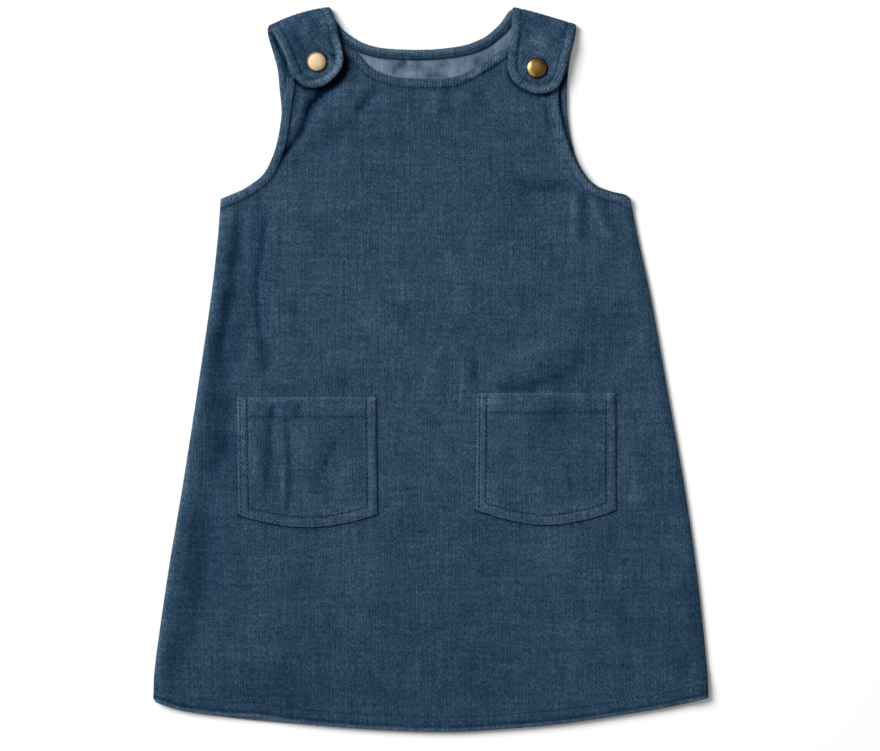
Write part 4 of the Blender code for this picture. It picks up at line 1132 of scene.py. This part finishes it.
def back_surface(points):
    """How far the back's outer face lies off its plain form, outwards, how much its wales show, and its shade."""
    tab = np.zeros(len(points))
    relief = 0.12 * swell(points, 50, 8)
    for name, fold in folds.items():
        u, s = fold.local(points)
        tab = np.maximum(tab, ease(fold.end, fold.end + 12, s) * (np.abs(u) < STRAP_SIDE))
        dent = np.linalg.norm(points - fold.unfolded(STRAPS[name]["snap"]), axis=1)
        relief -= 0.3 * ease(CAP_RADIUS + 5, CAP_RADIUS - 1, dent)
    away, place = nearest(points, guides["back_turned"])
    edge, edge_shade = stitched_edge(away, place, TURN_DEPTH, 21, puff=0.45, groove=0.5, pucker=0.25, dark=0.3)
    relief = relief * ease(0, 10, away) + np.where(tab > 0, edge, np.minimum(edge, 0))
    hem, hem_shade = stitched_edge(*nearest(points, guides["back_hem"]), HEM_DEPTH, 22, puff=0.0, groove=0.45,
                                   pucker=0.0, rim_light=0.0, dark=0.15)
    ribs = worn_ribs(points, 51) + 0.45 * ease(TURN_DEPTH, TURN_DEPTH - 3, away) + 0.15 * tab
    # painted light and shade of the stitched edges and hem, and on the tabs a little random tone and painted light
    # along their rims
    shade = 1 + edge_shade + hem_shade + tab * (0.05 * swell(points, 18, 9) + 0.45 * bell(away - 1.5, 2.8))
    # on each tab: a painted shadow round its snap, painted light on its far edge, and its creases and patches with
    # their painted light and shade
    for name, fold in folds.items():
        u, s = fold.local(points)
        lying = fold.unfolded(points)
        off = lying - STRAPS[name]["snap"]
        dent = np.linalg.norm(off, axis=1)
        side = off @ TO_SHADE / np.maximum(dent, 1e-6)
        ring = bell(dent - CAP_RADIUS - 0.2, 0.6) * (0.55 + 0.35 * side)
        lit = TAB_RIM[name] * ease(-0.1, 0.7, side) * ease(6.5, 3.0, away) * ease(CAP_RADIUS, CAP_RADIUS + 3, dent)
        here = np.abs(u) < STRAP_SIDE
        on, past_fold = tab * here, ease(fold.end - 1, fold.end + 2, s) * here
        crease, crease_shade = creases(lying, TAB_CREASES[name])
        relief += on * ease(0.5, 3.0, away) * crease
        shade += on * (TAB_SHADE[name] + crease_shade + lit - ring)
        shade += past_fold * patches(lying, TAB_PATCHES[name])
    return relief + hem, ribs, shade


def back_places(points, wales, lift=0.0):
    relief, ribs, shade = back_surface(points)
    pile = piled(ribs, wales)
    relief = relief - WALE_DEPTH * (1 - pile)
    away = distance(points, closed(back_edge[::2]), 6.0)
    heights = np.maximum(-relief, 0.05) - lift + 0.5 * back_inner(points) * rounded(away)
    places = np.column_stack([points, heights])
    for fold in folds.values():
        bent, u, s = on_strap(fold, points)
        middle, normal = fold.bent(u[bent], s[bent])
        outward = STRAP / 2 + relief[bent] - 0.5 * STRAP * rounded(away[bent])
        on = middle + normal * outward[:, None]
        on[:, 2] = np.maximum(on[:, 2], 0.05)
        places[bent] = on + normal * lift
    return places, pile, shade


def back_top(points):
    """The back's inner face, with soft creases where it shows in the neck."""
    neck = ease(40, 8, distance(points, guides["back_neck"], SEEN_REACH))
    crease, crease_shade = creases(points, INSIDE_CREASES)
    relief = neck * (0.25 * swell(points, 30, 15) + 0.1 * swell(points, 12, 16)) + 0.5 * crease
    places = np.column_stack([points, back_inner(points) + np.minimum(relief, 0.0)])
    for fold in folds.values():
        bent, u, s = on_strap(fold, points)
        middle, normal = fold.bent(u[bent], s[bent])
        places[bent] = middle - normal * STRAP / 2
    below = distance(points, guides["back_neck"], 12.0) - FACING_WIDTH
    # a little random tone where it shows in the neck, a paler band just below the facing, a painted shadow along the
    # facing's lower edge, and the creases' painted light and shade
    shade = 1 + 0.05 * neck * swell(points, 16, 17) + 0.12 * bell(below - 2.6, 1.8) - 0.6 * bell(below, 1.2)
    return places, np.maximum((shade + crease_shade) * gloom(points), 0.1)


def back_fine(points):
    zone = distance(points, guides["back_turned"]) < TURN_DEPTH + 4.0
    zone |= distance(points, guides["back_hem"]) < HEM_DEPTH + 2.0
    for fold in folds.values():
        u, s = fold.local(points)
        zone |= (s > -FOLD_RADIUS - 2) & (np.abs(u) < STRAP_SIDE)
    return zone


def circle(centre, radius, sides):
    angles = np.linspace(0, 2 * math.pi, sides, endpoint=False)
    return centre + radius * np.column_stack([np.cos(angles), np.sin(angles)])


snap_holes = [circle(fold.unfolded(STRAPS[name]["snap"])[0], POST_RADIUS + GAP, 24)[::-1]
              for name, fold in folds.items()]
# points of the back's inner face where it shows in the neck
neck_grid = np.array([(x, y) for x in np.arange(-66.0, 68.0, SEEN_STEP) for y in np.arange(206.0, 262.0, SEEN_STEP)])
neck_reach = distance(neck_grid, guides["back_neck"], SEEN_REACH)
neck_grid = neck_grid[inside(neck_grid, back_edge) & (neck_reach > 1.5) & (neck_reach < 40)]
back = cloth("back_cloth", back_edge, back_places, back_top, [cord, wrong_side], back_fine, holes=snap_holes,
             row=10.0, coarse=8.0, up=False, seen=neck_grid)
declare(back, "back_panel")
back_rows = [moved_in(strap_loop("right", 1.5), TURN_DEPTH), moved_in(strap_loop("left", 1.5)[::-1], TURN_DEPTH),
             moved_in(back_hem_line(2.0), HEM_DEPTH, 1.0), moved_in(neck_below_folds(2.0), TURN_DEPTH, 1.0),
             *(moved_in(back_armhole(name, 2.0), TURN_DEPTH, 1.0) for name in ("right", "left"))]
sew("back_stitches", back_rows, back_places, dark_thread)


# ---------------------------------------------------------------- pockets

def make_pocket(name, sizes, seed):
    """A patch pocket with a hem across its mouth, sewn down along its other three sides."""
    left, right = sizes["mouth"]
    edge = join(pocket_sewn(**sizes, step=RIM_STEP), evenly(np.array([right, left]), RIM_STEP))
    rim, sewn = closed(edge[::2]), pocket_sewn(**sizes, step=4.0)
    mouth, bottom = (left[1] + right[1]) / 2, np.array(sizes["bottom"])[:, 1]

    def low_face(points):
        """The pocket's underside, which lies on the front."""
        doubled = ease(POCKET_HEM + 2, POCKET_HEM - 1, mouth - points[:, 1])
        flat = front_inner(points) + fold_relief(points) + front_wall(points)
        from_edge = distance(points, rim)
        low = np.maximum(flat, front_surface(points)[1]) + GAP + 0.7 * ease(2, 25, from_edge)
        return low + 0.5 * doubled * ease(0, 12, from_edge), doubled, from_edge

    def outer(points, wales, lift=0.0):
        low, doubled, from_edge = low_face(points)
        high = low + CLOTH * (0.55 + 0.45 * ease(0, 6, from_edge)) + 0.4 * doubled * ease(0, 6, from_edge)
        away, place = nearest(points, sewn)
        relief, shade = stitched_edge(away, place, POCKET_STITCH, seed, puff=0.3, groove=0.35, pucker=0.12,
                                      rim_light=0.10, dark=0.30, groove_width=0.8)
        # painted light on both sides of the stitching, with two more rows: along the left edge and under the mouth's
        # hem, each with painted shade in its groove
        shade += 0.12 * bell(away - POCKET_STITCH - 1.7, 0.8) + 0.14 * ease(1.0, 2.2, away) * ease(6.2, 4.8, away)
        edge_row = bell(points[:, 0] - left[0] - EDGE_STITCH, 0.6)
        hem_row = bell(mouth - points[:, 1] - POCKET_HEM, GROOVE_WIDTH) * ease(5, 8, from_edge)
        crease, crease_shade = creases(points, POCKET_CREASES[name])
        middle = ease(1, 9, from_edge)
        high += relief + middle * (crease + 0.1 * swell(points, 25, 7)) - 0.15 * edge_row - 0.25 * hem_row
        shade += middle * crease_shade + patches(points, POCKET_PATCHES[name]) - 0.2 * edge_row - 0.12 * hem_row
        # painted light on the rim, with painted shade instead on the side away from the light, and painted light on a
        # band along the bottom
        far = ease(right[0] - 4.0, right[0] - 2.0, points[:, 0]) * (mouth - points[:, 1] > 2.0)
        shade += ease(1.3, 0.5, from_edge) * (0.34 - 0.6 * far)
        low_band = ease(bottom[0] + 9, bottom[0] + 3, points[:, 1])
        shade += 0.16 * low_band * ease(left[0] + 30, right[0] - 20, points[:, 0])
        ribs = worn_ribs(points, 61) + 0.3 * ease(POCKET_STITCH, POCKET_STITCH - 3, away)
        pile = piled(ribs, wales)
        high = np.maximum(high - WALE_DEPTH * (1 - pile), low + 0.3) + lift
        return np.column_stack([points, high - 0.6 * (high - low) * rounded(from_edge)]), pile, 1 + shade

    def inner(points):
        return np.column_stack([points, low_face(points)[0]]), np.ones(len(points))

    def fine(points):
        return (distance(points, rim) < POCKET_STITCH + 4) | (np.abs(mouth - points[:, 1] - POCKET_HEM) < 4)

    piece = cloth(f"pocket_{name}_cloth", edge, outer, inner, [cord, wrong_side], fine, row=2.5, coarse=5.0)
    declare(piece, "pocket_" + name)
    low_left = sizes["bottom"][0]
    rows = [moved_in(pocket_sewn(**sizes, step=1.0), POCKET_STITCH, 1.0),
            [(left[0] + EDGE_STITCH, left[1] - 1.0), (low_left[0] + EDGE_STITCH, low_left[1] + 1.0)]]
    hem = [(left[0] + POCKET_STITCH + 1, left[1] - POCKET_HEM), (right[0] - POCKET_STITCH - 1, right[1] - POCKET_HEM)]
    sew(f"pocket_{name}_stitches", rows, outer, dark_thread, 0.5, proud=0.25)
    sew(f"pocket_{name}_hem_stitches", [hem], outer, thread, 0.34, proud=0.0)


for seed, (name, sizes) in enumerate(POCKETS.items()):
    make_pocket(name, sizes, 31 + seed)


# ---------------------------------------------------------------- facings

def make_facing(name, line, bias, seed, row_thread, groove, row, step, light):
    """A narrow strip of cord on the back's inner face, from its edge inwards. The line has the cloth on its left."""
    first, width = 0.5, FACING_WIDTH + 0.3
    near_edge, far_edge = beside(line, first), beside(line, width)
    loop = join(near_edge, evenly(np.array([near_edge[-1], far_edge[-1]]), RIM_STEP), far_edge[::-1],
                evenly(np.array([far_edge[0], near_edge[0]]), RIM_STEP))
    rim = closed(loop)

    def outer(points, wales, lift=0.0):
        away = distance(points, rim, 6.0)
        from_line, place = nearest(points, line)
        low = back_inner(points) + GAP
        valley = bell(from_line - groove, 0.6)
        gather = puckers(place, seed)
        pile = piled(np.full(len(points), 0.7), wales)
        high = low + FACING + 0.35 * np.sin(math.pi * np.clip(from_line / groove, 0, 1)) - 0.4 * valley
        high += 0.12 * gather + lift - WALE_DEPTH * (1 - pile)
        # painted light on the rolled edge, painted shade in the groove, a little painted light and shade on the
        # puckers, and a painted shadow along the far edge
        shade = 1.1 + light * ease(groove, 0.4 * groove, from_line) - 0.5 * valley + 0.08 * gather
        shade = (shade - 0.55 * ease(0.9, 0.2, width - from_line)) * gloom(points)
        return np.column_stack([points, high - 0.5 * (high - low) * rounded(away)]), pile, shade

    def inner(points):
        return np.column_stack([points, back_inner(points) + GAP]), np.ones(len(points))

    piece = cloth(name + "_cloth", loop, outer, inner, [cord, wrong_side], lambda p: np.ones(len(p), bool),
                  coarse=4.0, bias=bias)
    declare(piece, name)
    sew(name + "_stitches", [beside(line, row)], outer, row_thread, 0.34, step, 0.75 * step)


make_facing("neck_facing", neck_below_folds(RIM_STEP), 0.0, 71, pale_thread, FACING_GROOVE, 5.9, 2.2, 0.6)
for name, bias, light in (("left", 45.0, 0.3), ("right", -45.0, 0.7)):
    edge = back_armhole(name, RIM_STEP)
    edge = edge[edge[:, 1] > FACING_FOOT[name]]
    make_facing("armhole_facing_" + name, edge, bias, 72, dark_thread, 4.8, 4.8, STITCH, light)


# ---------------------------------------------------------------- snaps

def make_snap(name, material, painted_cap_light):
    """A snap: its domed cap on the tab, and its post through the tab to the socket below."""
    fold = folds[name]
    centre = np.array(STRAPS[name]["snap"])
    middle, _ = fold.bent(*fold.local(fold.unfolded(centre)))
    tab_top = middle[0, 2] + STRAP / 2 + 0.1
    tab_under = middle[0, 2] - STRAP / 2 - GAP
    around = circle(centre, SOCKET_RADIUS + 4.0, 12)
    low = (front_inner(around) + fold_relief(around) + front_wall(around)).max() + GAP
    profile = [(0.0, low), (SOCKET_RADIUS - 0.3, low), (SOCKET_RADIUS, low + 0.25), (SOCKET_RADIUS, tab_under - 0.2),
               (SOCKET_RADIUS - 0.3, tab_under), (POST_RADIUS, tab_under), (POST_RADIUS, tab_top),
               (CAP_RADIUS - 0.5, tab_top), (CAP_RADIUS - 0.1, tab_top + 0.12), (CAP_RADIUS, tab_top + 0.45),
               (CAP_RADIUS - 0.05, tab_top + 0.75)]
    for share in (0.97, 0.93, 0.87, 0.79, 0.69, 0.57, 0.43, 0.28, 0.14, 0.0):
        profile.append((CAP_RADIUS * share, tab_top + 0.8 + (CAP_HEIGHT - 0.8) * (1 - share ** 2.4) ** 0.8))
    sides, points, faces, rings = 72, [], [], []
    for radius, height in profile:
        count = 1 if radius == 0 else sides
        rings.append((len(points), count))
        points += [(*p, height) for p in circle(centre, radius, sides)[:count]]
    for (low_ring, low_count), (high_ring, high_count) in zip(rings, rings[1:]):
        for i in range(sides):
            j = (i + 1) % sides
            corners = [low_ring + i % low_count, low_ring + j % low_count, high_ring + j % high_count,
                       high_ring + i % high_count]
            faces.append(tuple(dict.fromkeys(corners)))
    points = np.array(points)
    # the cap's shade attribute holds its painted light and shade
    piece = add_mesh(f"snap_{name}_brass", points, faces, [material], shade=painted_cap_light(points[:, :2] - centre))
    declare(piece, "snap_" + name)


def pale_cap_painted_light(off):
    """Painted light and shade of the paler cap: even, with painted shade towards its side away from the light, and a
    dark painted rim that is wider towards its upper left.
    """
    off = off - (0.3, -0.6)
    away = np.linalg.norm(off, axis=1)
    dull = 0.6 * np.clip(away / 6.4, 0, 1) ** 2.2 * ease(-1.0, 1.0, off @ TO_SHADE / np.maximum(away, 1e-6))
    return (1 - dull) * (1 - 0.88 * ease(6.1, 6.9, away))


def dark_cap_painted_light(off):
    """Painted light and shade of the darker cap: a painted highlight along its left side, painted shade along its top
    and right, and a dark painted rim.
    """
    away = np.linalg.norm(off, axis=1)
    way = off / np.maximum(away, 1e-6)[:, None]
    dull = 0.5 * ease(0.8, 4.0, away) * ease(-0.6, 0.7, way @ TO_SHADE)
    top = 0.6 * ease(3.0, 5.5, away) * ease(0.2, 0.75, way @ (0.1, 0.99))
    left = 1.35 * bell(away - 6.1, 1.0) * ease(0.5, 0.9, way @ (-0.93, -0.36))
    rim = (0.5 + 0.4 * ease(-1.0, 0.0, way @ TO_SHADE)) * ease(6.5, 7.1, away) * ease(0.95, 0.6, way @ (-0.93, -0.36))
    return (1 - dull + left) * (1 - top) * (1 - rim)


make_snap("left", brass_painted_pale, pale_cap_painted_light)
make_snap("right", brass_painted_dark, dark_cap_painted_light)


# ---------------------------------------------------------------- floor, light and camera

FLOOR = 3000.0                          # half the floor's side
FLOOR_DROP = 0.4                        # how far the floor is below the dress, so that the two don't flicker
CAMERA_HEIGHT = 3.2                     # metres, so far that the dress looks flat
VIEW_WIDTH = 0.66                       # metres across the picture
VIEW_MIDDLE = (0.00675, -0.00525)       # metres, the place under the camera
LIGHT_PLACE = (-3.7, 2.5, 3.8)          # metres, to the upper left
LIGHT_SIZE = 3.6                        # metres, so wide that the shadows are soft
LIGHT_POWER = 440.0                     # watts
SKY_POWER = 0.38                        # of the even light from all around


def make_floor():
    corners = np.array([(x, y, -FLOOR_DROP) for x, y in ((-1, -1), (1, -1), (1, 1), (-1, 1))]) * (FLOOR, FLOOR, 1)
    material = new_material("floor", {"Base Color": (0.95, 0.95, 0.95, 1), "Roughness": 0.9})[0]
    add_mesh("floor", corners, [(0, 1, 2, 3)], [material])


def make_light():
    light = bpy.data.lights.new("key", "AREA")
    light.shape, light.size, light.energy = "DISK", LIGHT_SIZE, LIGHT_POWER
    lamp = add_object("key", light)
    lamp.location = LIGHT_PLACE
    lamp.rotation_euler = (-Vector(LIGHT_PLACE)).to_track_quat("-Z", "Y").to_euler()


def make_sky():
    world = bpy.data.worlds.new("world")
    bpy.context.scene.world = world
    world.use_nodes = True
    inputs = world.node_tree.nodes["Background"].inputs
    inputs["Color"].default_value = (1, 1, 1, 1)
    inputs["Strength"].default_value = SKY_POWER


def make_camera():
    camera = bpy.data.cameras.new("camera")
    camera.lens = camera.sensor_width * CAMERA_HEIGHT / VIEW_WIDTH
    camera.clip_end = 20.0
    bpy.context.scene.camera = add_object("camera", camera)
    bpy.context.scene.camera.location = (*VIEW_MIDDLE, CAMERA_HEIGHT)


make_floor()
make_camera()
make_light()
make_sky()
bpy.context.scene.view_settings.view_transform = "Standard"
